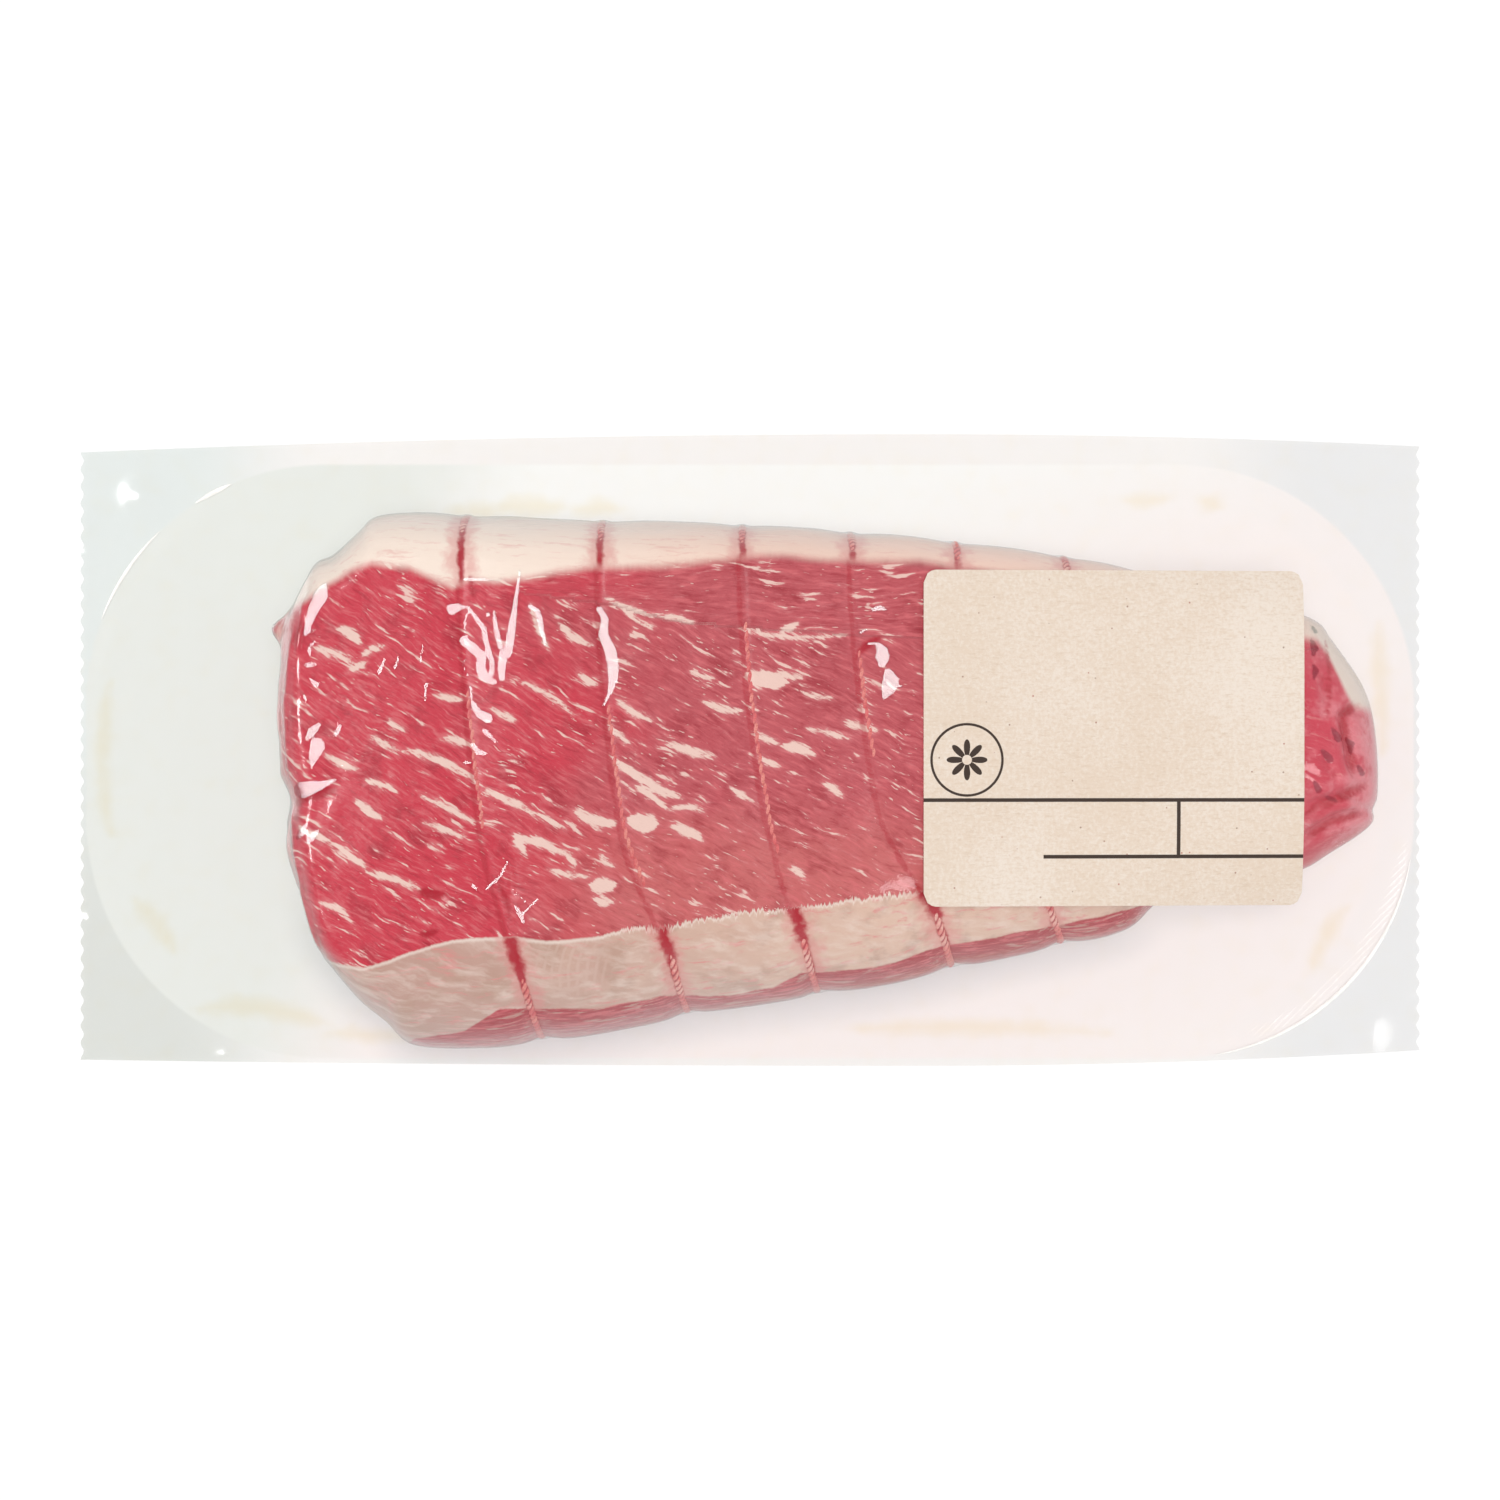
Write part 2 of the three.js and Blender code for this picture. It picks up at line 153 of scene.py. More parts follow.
def closed_curve(points, count):
    """A closed centripetal Catmull-Rom curve through the points, as evenly spaced samples."""
    before, after, beyond = (np.roll(points, shift, axis=0) for shift in (1, -1, -2))
    gaps = [np.linalg.norm(b - a, axis=1)[:, None] ** 0.5
            for a, b in ((before, points), (points, after), (after, beyond))]
    d0, d1, d2 = gaps
    start = ((points - before) / d0 - (after - before) / (d0 + d1) + (after - points) / d1) * d1
    end = ((after - points) / d1 - (beyond - points) / (d1 + d2) + (beyond - after) / d2) * d1
    t = np.linspace(0, 1, CURVE_STEPS, endpoint=False)[None, :, None]
    shape = [a[:, None, :] for a in (points, start, after, end)]
    curve = ((2 * t**3 - 3 * t**2 + 1) * shape[0] + (t**3 - 2 * t**2 + t) * shape[1]
             + (-2 * t**3 + 3 * t**2) * shape[2] + (t**3 - t**2) * shape[3]).reshape(-1, 2)
    return even_loop(curve, count)[0]


OUTLINE_COUNT = 3000
OUTLINE = closed_curve(ROAST_OUTLINE, OUTLINE_COUNT)
LEFTMOST, TIP = int(np.argmin(OUTLINE[:, 0])), int(np.argmax(OUTLINE[:, 0]))


def outline_at(index):
    """Points of the outline at fractional indices."""
    whole = np.floor(index).astype(int)
    share = (index - whole)[:, None]
    return lerp(OUTLINE[whole % OUTLINE_COUNT], OUTLINE[(whole + 1) % OUTLINE_COUNT], share)


def upper_index(x):
    ids = np.arange(TIP, OUTLINE_COUNT + LEFTMOST + 1)[::-1]
    return np.interp(x, OUTLINE[ids % OUTLINE_COUNT, 0], ids)


def lower_index(x):
    ids = np.arange(LEFTMOST, TIP + 1)
    return np.interp(x, OUTLINE[ids, 0], ids)


def slant_at(x):
    return lerp(SLANT[0], SLANT[1], smoothstep(x, *SLANT_GROWS_X))


def face_height(x):
    return lerp(THICK_END_HEIGHT, THIN_END_HEIGHT, smoothstep(x, *TAPER_X))


def roast_rays(fine, coarse):
    """Rays from the outline in to the spine, round the roast: where they start and end, and how round its
    edge is. They stand closer together on the bare meat than under the label."""
    stations = np.concatenate([np.arange(FIRST_STATION, LABEL_FROM_STATION, fine),
                               np.arange(LABEL_FROM_STATION, LAST_STATION + coarse / 2, coarse)])
    lower_x = stations + slant_at(stations)
    spine_share = (stations + SLANT_AT_SPINE * slant_at(stations) - SPINE[0, 0]) / (SPINE[1, 0] - SPINE[0, 0])
    spine = lerp(SPINE[0], SPINE[1], np.clip(spine_share, 0, 1)[:, None])
    upper, lower = upper_index(stations), lower_index(lower_x)
    steps = OUTLINE_COUNT / np.linalg.norm(np.diff(OUTLINE, axis=0), axis=1).sum() * END_RAY_SPACING

    def end(start, stop, spine_point, first, middle, last):
        count = int(abs(stop - start) / steps)
        share = (np.arange(count) + 1) / (count + 1)
        side = np.where(share[:, None] < 0.5, first, last)
        blend = smoothstep(np.abs(share - 0.5), 0.25, 0.5)[:, None]
        return lerp(start, stop, share), np.tile(spine_point, (count, 1)), lerp(middle, side, blend)

    thick = end(upper[0], lower[0] + OUTLINE_COUNT, spine[0],
                UPPER_SHOULDER, THICK_END_SHOULDER, LOWER_SHOULDER)
    thin = end(lower[-1], upper[-1], spine[-1], LOWER_SHOULDER, THIN_END_SHOULDER, UPPER_SHOULDER)
    index = np.concatenate([upper[::-1], thick[0], lower, thin[0]])
    ends = np.vstack([spine[::-1], thick[1], spine, thin[1]])
    shoulder = np.vstack([np.tile(UPPER_SHOULDER, (len(stations), 1)), thick[2],
                          np.tile(LOWER_SHOULDER, (len(stations), 1)), thin[2]])
    rim = outline_at(index)
    ahead = outline_at(index + 8) - outline_at(index - 8)
    outward = np.stack([ahead[:, 1], -ahead[:, 0]], axis=1)
    outward /= np.linalg.norm(outward, axis=1)[:, None]
    inward = ends - rim
    reach = np.linalg.norm(inward, axis=1)
    return {"rim": rim, "outward": outward, "inward": inward / reach[:, None], "reach": reach,
            "width": shoulder[:, 0], "power": shoulder[:, 1], "tuck": shoulder[:, 2]}


def shoulder_ring(rays, step):
    plan = rays["rim"] + rays["inward"] * (rays["width"] * step)[:, None]
    rise = (1 - (1 - step) ** rays["power"]) ** (1 / rays["power"])
    return np.column_stack([plan, lerp(WIDEST_HEIGHT, face_height(plan[:, 0]), rise)])


def crown_ring(rays, step):
    plan = rays["rim"] + rays["inward"] * lerp(rays["width"], rays["reach"], step)[:, None]
    return np.column_stack([plan, face_height(plan[:, 0]) + FACE_CROWN * smoothstep(step, 0, 1)])


def grid_normals(points):
    """Outward normals of rings of points, rings first and rays second."""
    along = np.gradient(points, axis=0)
    around = np.roll(points, -1, axis=1) - np.roll(points, 1, axis=1)
    normals = np.cross(around, along)
    length = np.linalg.norm(normals, axis=2, keepdims=True)
    upright = np.tile([0.0, 0.0, 1.0], points.shape[:2] + (1,))
    return np.divide(normals, length, out=upright, where=length > 1e-9)


def loop_share(points):
    """How far across the roast a point lies, from the upper edge (0) to the lower edge (1)."""
    x, y = points[..., 0], points[..., 1]
    top = outline_at(upper_index(np.clip(x, -110, 155)).ravel())[:, 1].reshape(x.shape)
    bottom = outline_at(lower_index(np.clip(x, -110, 155)).ravel())[:, 1].reshape(x.shape)
    return np.clip((top - y) / (top - bottom), 0, 1)


def station_of(points):
    """Where the twine's course through a point crosses the upper edge."""
    across = loop_share(points)
    share = across**2
    straight = points[..., 0] - slant_at(points[..., 0] - SLANT[0] * share) * share
    return straight - jog_at(straight - jog_at(straight, across), across)


def jog_at(station, share):
    """How far a twine's course from this station has slid to the right, at this share of the way across."""
    return np.interp(station, TWINE_UPPER_X, TWINE_JOG) * smoothstep(share, *JOG_SHARES)


def twine_gap(points):
    """How far each point lies to the right of the nearest twine's course, in mm: minus to its left."""
    gaps = station_of(points)[..., None] - TWINE_UPPER_X
    nearest = np.argmin(np.abs(gaps), axis=-1)
    return np.take_along_axis(gaps, nearest[..., None], axis=-1)[..., 0]


def face_share(points):
    """0 on the roast's sides, 1 on its cut face."""
    return smoothstep(points[..., 2] / face_height(points[..., 0]), 0.72, 0.97)


# ---- meshes ----

SHARP_ANGLE = 50  # in degrees, from which an edge shows as one


def add_grid(name, points):
    """A sheet of quads from the grid primitive, its rows and columns moved to these points in millimetres."""
    rows, columns = points.shape[:2]
    bpy.ops.mesh.primitive_grid_add(x_subdivisions=columns - 1, y_subdivisions=rows - 1, size=1)
    piece = bpy.context.object
    piece.name = piece.data.name = name
    piece.data.vertices.foreach_set("co", (points * MM).astype(np.float32).ravel())
    piece.data.update()
    return piece


def close_seams(piece):
    """Merges the points that meet, so that a rolled-up sheet becomes one closed skin."""
    bpy.ops.object.mode_set(mode="EDIT")
    bpy.ops.mesh.select_all(action="SELECT")
    bpy.ops.mesh.remove_doubles(threshold=0.0005 * MM)
    bpy.ops.mesh.normals_make_consistent(inside=False)
    bpy.ops.object.mode_set(mode="OBJECT")
    bpy.ops.object.shade_smooth()
    bpy.ops.object.select_all(action="DESELECT")


def thicken(piece, thickness):
    """Gives a sheet this thickness in millimetres, below its points, and smooths its shading."""
    sheet = piece.modifiers.new("thickness", "SOLIDIFY")
    sheet.thickness = thickness * MM
    sheet.offset = -1
    bpy.ops.object.modifier_apply(modifier=sheet.name)
    bpy.ops.object.shade_smooth_by_angle(angle=math.radians(SHARP_ANGLE))
    bpy.ops.object.select_all(action="DESELECT")


def positions(piece):
    """The piece's points, in millimetres."""
    flat = np.empty(len(piece.data.vertices) * 3, np.float32)
    piece.data.vertices.foreach_get("co", flat)
    return flat.reshape(-1, 3).astype(float) / MM


def set_attribute(piece, name, values):
    attribute = piece.data.attributes.new(name, "FLOAT", "POINT")
    attribute.data.foreach_set("value", np.asarray(values, np.float32))


def set_vector_attribute(piece, name, values):
    attribute = piece.data.attributes.new(name, "FLOAT_VECTOR", "POINT")
    attribute.data.foreach_set("vector", np.asarray(values, np.float32).ravel())


def rolled_up(grid):
    """The grid with its first column repeated at its end, ready to be closed."""
    return np.concatenate([grid, grid[:, :1]], axis=1)


# ---- the meat ----

RAY_SPACING_FINE, RAY_SPACING_COARSE = 0.64, 1.6
MEAT_BOTTOM = 1.3
UNDER_EDGE_RADIUS = 5.0
WIDE_GROOVE, LOWER_GROOVE = 0.35, 0.7  # the valley at each twine, and how much deeper it is in the lower fat
NARROW_GROOVE, NARROW_HALF_WIDTH = 0.35, 0.8  # the crease in that valley
SHOULDER_RINGS, CROWN_RINGS, SIDE_RINGS, UNDER_RINGS = 30, 74, 11, 7

# Edges between fat and lean on the cut face, from left to right.
UPPER_FAT_LINE = np.array([
    (-122, 33), (-112, 38), (-106, 42), (-101, 45), (-95, 47), (-86, 46), (-80, 43), (-75, 41), (-71, 43),
    (-64, 42), (-51, 44), (-41, 46), (-26, 46), (-6, 48), (0, 49), (9, 49), (20, 48), (43, 48), (80, 42),
    (120, 34), (140, 29), (146, 28), (149, 24), (153, 15), (155, 11), (165, 10),
], float)
LOWER_FAT_LINE = np.array([
    (-122, -50), (-112, -53), (-103, -54), (-98, -55), (-91, -53), (-86, -51), (-75, -48), (-59, -47),
    (-51, -48), (-38, -47), (-31, -45), (-21, -45), (-14, -43), (-3, -41), (9, -40), (26, -38), (43, -36),
    (80, -33), (118, -27), (130, -40), (165, -60),
], float)
# Edge between that fat and the dark lean below it.
DARK_LEAN_LINE = np.array([
    (-122, -78), (-92, -78), (-86, -74), (-73, -72), (-64, -66), (-48, -66), (-38, -66), (-23, -63),
    (-5, -63), (6, -61), (13, -57), (32, -56), (46, -51), (80, -45), (120, -36), (165, -28),
], float)

# Valleys where the meat is folded: points in plan, depth and half width.
FOLDS = [
    ([(147, 21), (147, 7)], 1.0, 1.6),
    ([(158, 13), (152, 9), (153, 4), (154, -2), (156, -8)], 2.0, 1.5),
    ([(142, -15), (148, -13), (156, -10), (160, -8)], 1.6, 1.7),
    ([(142, -23), (150, -18), (159, -16)], 1.8, 1.7),
    ([(146, -1), (151, -9)], 0.9, 1.4),
    ([(-119, -15), (-111, -12), (-104, -9)], 0.35, 1.6),
    ([(-67, -22), (-61, -28), (-60, -38)], 0.8, 1.4),
    ([(-84, -36), (-76, -37)], 0.5, 1.6),
]
# Pleats along the thick end's side, that the meat has taken from the film: points in plan, height, and the
# widths of their slopes to the right and left.
PLEATS = [
    ([(-117, 36), (-119, 20), (-119, 2)], 0.8, 0.9, 0.9),
    ([(-119, -2), (-118, -20), (-115, -38)], 0.7, 0.9, 0.9),
    ([(-115, 30), (-117, 12), (-116, -8)], 0.6, 0.9, 0.8),
    ([(-116, -14), (-113, -36), (-108, -54)], 0.6, 0.9, 0.8),
    ([(-112, 38), (-114, 24)], 0.6, 0.9, 0.9),
    ([(-108, -56), (-100, -66)], 0.6, 1.0, 1.0),
]
# Dark red patches where juice has gathered: middle, length, slope and width.
BLOTCHES = np.array([
    (-110, -12, 13, 18, 3.0), (-80, -36, 8, -8, 2.6), (-81, -46, 5, 12, 2.0), (-70, 41, 6, -80, 1.6),
    (-62, -38, 9, -70, 1.6), (-114, 30, 7, 70, 1.6), (-119, 14, 20, 88, 1.2), (154, 1, 14, -65, 1.8),
    (150, -13, 20, 22, 1.8), (148, 18, 20, 88, 1.2), (-37, 33, 5, -80, 1.4), (30, 26, 9, 40, 2.0),
], float)


def line_at(line, x):
    return np.interp(x, line[:, 0], line[:, 1])


def body_rings(rays, under_edge):
    """Rings of the plain roast without its grooves, from the bottom spine to the top one. under_edge gives
    the plan offset and height of each ring below the widest one."""
    spine_reach = rays["reach"][:, None]
    start = rays["rim"] + rays["outward"] * under_edge[0][0][:, None]
    middle = rays["rim"] + rays["inward"] * spine_reach
    under = [np.column_stack([lerp(middle, start, share), np.full(len(start), under_edge[0][1])])
             for share in np.linspace(0, 1, UNDER_RINGS, endpoint=False)]
    sides = [np.column_stack([rays["rim"] + rays["outward"] * offset[:, None], np.full(len(start), height)])
             for offset, height in under_edge]
    steps = np.linspace(0, 1, SHOULDER_RINGS, endpoint=False) ** 1.5
    shoulder = [shoulder_ring(rays, step) for step in steps]
    crown = [crown_ring(rays, step) for step in np.linspace(0, 1, CROWN_RINGS)]
    return np.stack(under + sides + shoulder + crown)


def meat_under_edge(rays):
    """The meat's rounded lower edge: it tucks in below the widest height and turns under."""
    rings = []
    for height in np.geomspace(MEAT_BOTTOM, WIDEST_HEIGHT, SIDE_RINGS, endpoint=False):
        tuck = 1 - smoothstep(height, 1.5, WIDEST_HEIGHT)
        turn = np.clip((UNDER_EDGE_RADIUS + MEAT_BOTTOM - height) / UNDER_EDGE_RADIUS, 0, 1)
        rings.append((-rays["tuck"] * tuck - UNDER_EDGE_RADIUS * (1 - math.sqrt(1 - turn**2)), height))
    return rings


def swell(points):
    """Slow lumps that the meat has and its film follows."""
    return 0.55 * perlin(points, 34, 1) + 0.22 * perlin(points, 13, 2)


def pillow(points):
    """The meat bulges a little between loops."""
    return 0.35 * smoothstep(np.abs(twine_gap(points)), 2, 12)


def groove(points, width):
    return np.exp(-((twine_gap(points) / width) ** 2))


def above_floor(points):
    """0 where the roast stands on the web, 1 where its surface is free to move."""
    return smoothstep(points[..., 2], MEAT_BOTTOM, 10)


def valley_depth(plan, valleys):
    """Depth of the meat's folds at each point."""
    depth = np.zeros(plan.shape[:-1])
    for path, deepest, half_width in valleys:
        gap, _, along = path_gap(plan, path)
        fade = np.clip(np.minimum(along, 1 - along) * 5 + 0.15, 0, 1)
        depth = np.maximum(depth, deepest * fade * np.exp(-((gap / half_width) ** 2)))
    return depth


def path_gap(plan, path):
    """Each point's distance from a path, the side of it that the point is on, and its share of the way."""
    corners = np.array(path, float)
    lengths = np.linalg.norm(np.diff(corners, axis=0), axis=1)
    nearest = np.full(plan.shape[:-1], 1e6)
    side, along = np.zeros_like(nearest), np.zeros_like(nearest)
    for start, end, length, before in zip(corners, corners[1:], lengths, np.cumsum(lengths) - lengths):
        ahead = (end - start) / length
        offset = plan - start
        run = np.clip(offset @ ahead, 0, length)
        gap = np.linalg.norm(offset - run[..., None] * ahead, axis=-1)
        closer = gap < nearest
        side = np.where(closer, np.sign(ahead[0] * offset[..., 1] - ahead[1] * offset[..., 0]), side)
        along = np.where(closer, (before + run) / lengths.sum(), along)
        nearest = np.minimum(nearest, gap)
    return nearest, side, along


def crest_height(plan, crests):
    """Height of creases at each point: two straight slopes each, that fade out towards the crest's ends."""
    height = np.zeros(plan.shape[:-1])
    for path, top, right_width, left_width in crests:
        reach = np.ptp(np.array(path, float), axis=0).max() / 2 + right_width + left_width
        near = np.abs(plan - np.mean(path, axis=0)).max(axis=-1) < reach * 1.3
        gap, side, along = path_gap(plan[near], path)
        fade = np.clip(np.minimum(along, 1 - along) * 7 + 0.25, 0, 1)
        width = np.where(side < 0, right_width, left_width) * fade
        height[near] = np.maximum(height[near], top * fade * np.clip(1 - gap / np.maximum(width, 0.3), 0, 1))
    return height


EAR_PLACE, EAR_HEIGHT, EAR_RADIUS = np.array([-119, 30.5, 40.0]), 3.8, 3.0
EAR_BORDER = 1.5  # how much wider its pale colour is
RUMPLE_HEIGHT, RUMPLE_FROM, RUMPLE_TO = 0.35, 98, 108  # small lumps along the thick end's edge
FOLD_HEIGHTS = (8, 16)  # between these the folds set in
FINE_LUMPS = 0.08


def meat_relief(points):
    """How far the meat stands proud of the plain roast, but for the narrow crease under each twine."""
    ear = EAR_HEIGHT * np.exp(-(np.linalg.norm(points - EAR_PLACE, axis=-1) / EAR_RADIUS) ** 2)
    waist = WIDE_GROOVE + LOWER_GROOVE * smoothstep(loop_share(points), 0.8, 0.9)
    rumple = RUMPLE_HEIGHT * perlin(points, 6.5, 5) * smoothstep(-points[..., 0], RUMPLE_FROM, RUMPLE_TO)
    return (pillow(points) + swell(points) + crest_height(points[..., :2], PLEATS) + ear + rumple
            - waist * groove(points, GROOVE_HALF_WIDTH))


def build_roast():
    rays = roast_rays(RAY_SPACING_FINE, RAY_SPACING_COARSE)
    plain = body_rings(rays, meat_under_edge(rays))
    relief = meat_relief(plain) - NARROW_GROOVE * groove(plain, NARROW_HALF_WIDTH)
    folds = valley_depth(plain[..., :2], FOLDS) * smoothstep(plain[..., 2], *FOLD_HEIGHTS)
    relief += FINE_LUMPS * perlin(plain, 4.5, 3) - folds
    move = relief * above_floor(plain)
    piece = add_grid("roast", rolled_up(plain + grid_normals(plain) * move[..., None]))
    close_seams(piece)
    return piece


# Fat streaks that stand out on the cut face: middle, length, slope in degrees and width.
MAIN_STREAKS = np.array([
    (-105, 24, 11, -19, 1.4), (-99, 21, 5, 27, 1.5), (-76, 13, 7, -10, 1.3), (-101, 29, 7, -33, 2.3),
    (-95, 25, 6, 23, 1.5), (-92, 1, 8, -27, 1.0), (-78, -4, 20, -23, 1.5), (-103, -3, 9, -26, 1.3),
    (-74, 2, 8, -14, 1.5), (-89, 6, 5, -35, 1.0), (-93, -9, 8, -20, 1.0), (-96, -15, 8, -36, 1.8),
    (-76, -15, 15, -28, 1.1), (-77, -20, 11, -19, 1.1), (-61, -13, 13, -26, 1.5), (-51, -18, 10, -27, 1.1),
    (-55, -23, 10, -20, 1.8), (-39, -17, 12, -17, 2.5), (-62, 9, 7, -28, 1.1), (-51, 13, 15, -32, 1.0),
    (-44, 29, 10, -32, 1.5), (-41, 18, 6, -29, 1.3), (-53, 31, 12, -68, 0.8), (-30, 36, 13, -20, 1.1),
    (-19, 33, 10, -13, 1.1), (-28, 33, 9, -31, 0.9), (11, 30, 27, -3, 0.8), (10, 31, 5, 29, 1.5),
    (4, 18, 11, -10, 4.3), (10, 19, 7, -10, 1.5), (-12, 19, 6, -18, 1.3), (-7, 11, 10, -16, 1.5),
    (17, 14, 8, -13, 1.0), (20, 4, 11, -12, 1.0), (28, 6, 9, -14, 1.5), (-15, 0, 13, -17, 1.8),
    (4, 3, 8, -21, 1.3), (12, 0, 9, -15, 2.3), (-26, -7, 21, -31, 2.0), (-25, -12, 10, -34, 1.5),
    (-16, -15, 9, -2, 0.9), (-27, -18, 8, -8, 4.6), (-16, -21, 9, -24, 2.3), (5, -3, 6, -24, 1.1),
    (-2, -11, 7, -32, 1.0), (21, -10, 6, -34, 1.3), (-29, 10, 10, -30, 1.5), (-33, 4, 7, -42, 1.1),
    (-110, -21, 9, -24, 1.3), (-101, -27, 12, -36, 1.5), (-90, -33, 14, -19, 1.3), (-105, -40, 8, -26, 1.1),
    (-58, -24, 5, -57, 1.8), (-50, -24, 9, -29, 1.5), (-45, -28, 4, -62, 1.3), (-46, -31, 11, -12, 0.9),
    (-37, -34, 7, 5, 3.5), (-37, -38, 5, -9, 1.8), (-36, -28, 5, -43, 1.0), (12, -31, 5, -32, 1.3),
], float)
# Line between two muscles: the grain dips to the right below it and lies nearly level above it.
SEAM_LINE = np.array([(-60, 40), (-34, 36.5), (-20, 32.5), (-2, 31), (30, 29), (90, 26)], float)
GRAIN_SLOPE_BELOW, GRAIN_SLOPE_ABOVE = -27, -4
SEAM_ENDS_X = -58


def along_grain(plan):
    """Each point's distance along the grain and across it, in millimetres."""
    above = (plan[:, 1] > line_at(SEAM_LINE, plan[:, 0])) & (plan[:, 0] > SEAM_ENDS_X)
    slope = np.radians(np.where(above, GRAIN_SLOPE_ABOVE, GRAIN_SLOPE_BELOW + 0.03 * plan[:, 0]))
    along = plan[:, 0] * np.cos(slope) + plan[:, 1] * np.sin(slope)
    across = plan[:, 1] * np.cos(slope) - plan[:, 0] * np.sin(slope)
    return np.column_stack([along, across, above * 40.0])


def streak_depth(plan, streaks):
    """How far inside the nearest fat streak each point lies, in millimetres. It is negative outside."""
    depth = np.full(len(plan), -2.0)
    for x, y, length, slope, width in streaks:
        turn = math.radians(slope)
        near = np.flatnonzero(np.abs(plan - (x, y)).max(axis=1) < length / 2 + 4)
        offset = plan[near] - (x, y)
        along = offset @ (math.cos(turn), math.sin(turn)) / (length / 2)
        bow = 0.06 * length * math.sin(x * 1.7 + y)
        across = offset @ (-math.sin(turn), math.cos(turn)) - bow * (1 - along**2)
        half = width / 2 * np.clip(1 - along**2, 0, 1) ** 0.7
        over = np.maximum(np.abs(along) - 1, 0) * length / 2
        depth[near] = np.maximum(depth[near], half - np.hypot(across, over))
    return depth


def fat_depth(points):
    """How far inside the outer fat each point lies, in millimetres, and negative in the lean."""
    x, y, z = points.T
    upper = y - line_at(UPPER_FAT_LINE, x)
    lower = np.minimum(line_at(LOWER_FAT_LINE, x) - y, y - line_at(DARK_LEAN_LINE, x))
    return np.clip(np.maximum(upper, lower) + 0.5 * perlin(points, 7, 11), -6, 6)


def lower_fat_top(points):
    """1 in the upper half of the lower fat and above it, 0 below."""
    middle = (line_at(LOWER_FAT_LINE, points[:, 0]) + line_at(DARK_LEAN_LINE, points[:, 0])) / 2
    return smoothstep(points[:, 1] - middle, -1, 1)


def add_meat_masks(piece):
    points = positions(piece)
    plan = points[:, :2]
    set_attribute(piece, "lower_fat_top", lower_fat_top(points))
    set_attribute(piece, "fat", fat_depth(points))
    set_attribute(piece, "marbling", streak_depth(plan, MAIN_STREAKS))
    set_attribute(piece, "cut_face", face_share(points))
    from_ear = np.linalg.norm(points - EAR_PLACE, axis=1)
    set_attribute(piece, "ear", np.exp(-(from_ear / (EAR_RADIUS + EAR_BORDER)) ** 2))
    set_attribute(piece, "twine_gap", np.clip(np.abs(twine_gap(points)), 0, 20))
    set_attribute(piece, "twine_left_gap", np.clip(np.abs(twine_gap(points) + TWINE_RADIUS), 0, 20))
    set_attribute(piece, "blotch", np.maximum(streak_depth(plan, BLOTCHES), valley_depth(plan, FOLDS) - 1.2))
    set_vector_attribute(piece, "grain", along_grain(plan))


# ---- twine ----

TWINE_STEPS = 560
TWINE_SIDES = 18
TWINE_PLIES = 3
TWINE_LAY = 7.8  # length in which a ply goes once round
PLY_RADIUS_SHARE = 0.62
SUNK_SEEN, SUNK_HIDDEN, SUNK_ON_FAT, SUNK_ON_SIDE = 0.82, 1.4, 0.1, 0.3  # its middle below the crease
LOWER_FAT_SHARE = 0.84
# Where each loop can be seen on the lean, as shares of the way across.
SEEN_ON_LEAN = [(0.33, 0.6), (0.36, 0.74), (0.2, 0.7), (0.27, 0.52), (0.2, 0.6), (0.2, 0.7), (0.2, 0.7)]
SEEN_BLEND = 0.03  # half the share over which it comes out or goes in
HEART_HEIGHT = 24  # the twine is laid round a line at this height


def surface_of(piece):
    points = positions(piece)
    return BVHTree.FromPolygons([Vector(p) for p in points], [p.vertices[:] for p in piece.data.polygons])


def twine_sink(share, face, seen):
    """How deep the twine's middle lies below the crease: it hides in the lean but for one stretch."""
    first, last = seen
    comes_out = smoothstep(share, first - SEEN_BLEND, first + SEEN_BLEND)
    on_lean = comes_out * smoothstep(share, last + SEEN_BLEND, last - SEEN_BLEND)
    on_face = lerp(SUNK_HIDDEN, SUNK_SEEN, on_lean)
    on_face = lerp(on_face, SUNK_ON_FAT, smoothstep(share, LOWER_FAT_SHARE + 0.02, LOWER_FAT_SHARE + 0.06))
    return lerp(SUNK_ON_SIDE, on_face, face)


def twine_course(tree, upper_x, seen):
    """A closed line round the roast in the twine's slanting groove."""
    lower_x = upper_x + slant_at(upper_x) + jog_at(upper_x, 1.0)
    top = outline_at(np.array([upper_index(upper_x)]))[0, 1]
    bottom = outline_at(np.array([lower_index(lower_x)]))[0, 1]
    middle_y = (top + bottom) / 2
    course = []
    for turn in np.linspace(0, 2 * math.pi, TWINE_STEPS, endpoint=False):
        way = Vector((0, math.cos(turn), math.sin(turn)))
        y = middle_y
        for _ in range(4):
            share = np.clip((top - y) / (top - bottom), 0, 1)
            x = upper_x + slant_at(upper_x) * share**2 + jog_at(upper_x, share)
            hit = tree.ray_cast(Vector((x, middle_y, HEART_HEIGHT)), way)
            y = hit[0].y
        face = float(face_share(np.array([tuple(hit[0])]))[0])
        course.append(hit[0] - hit[1] * float(twine_sink(share, face, seen)))
    return np.array([tuple(point) for point in course])


def smooth_loop(points, rounds):
    for _ in range(rounds):
        points = 0.5 * points + 0.25 * (np.roll(points, 1, axis=0) + np.roll(points, -1, axis=0))
    return points


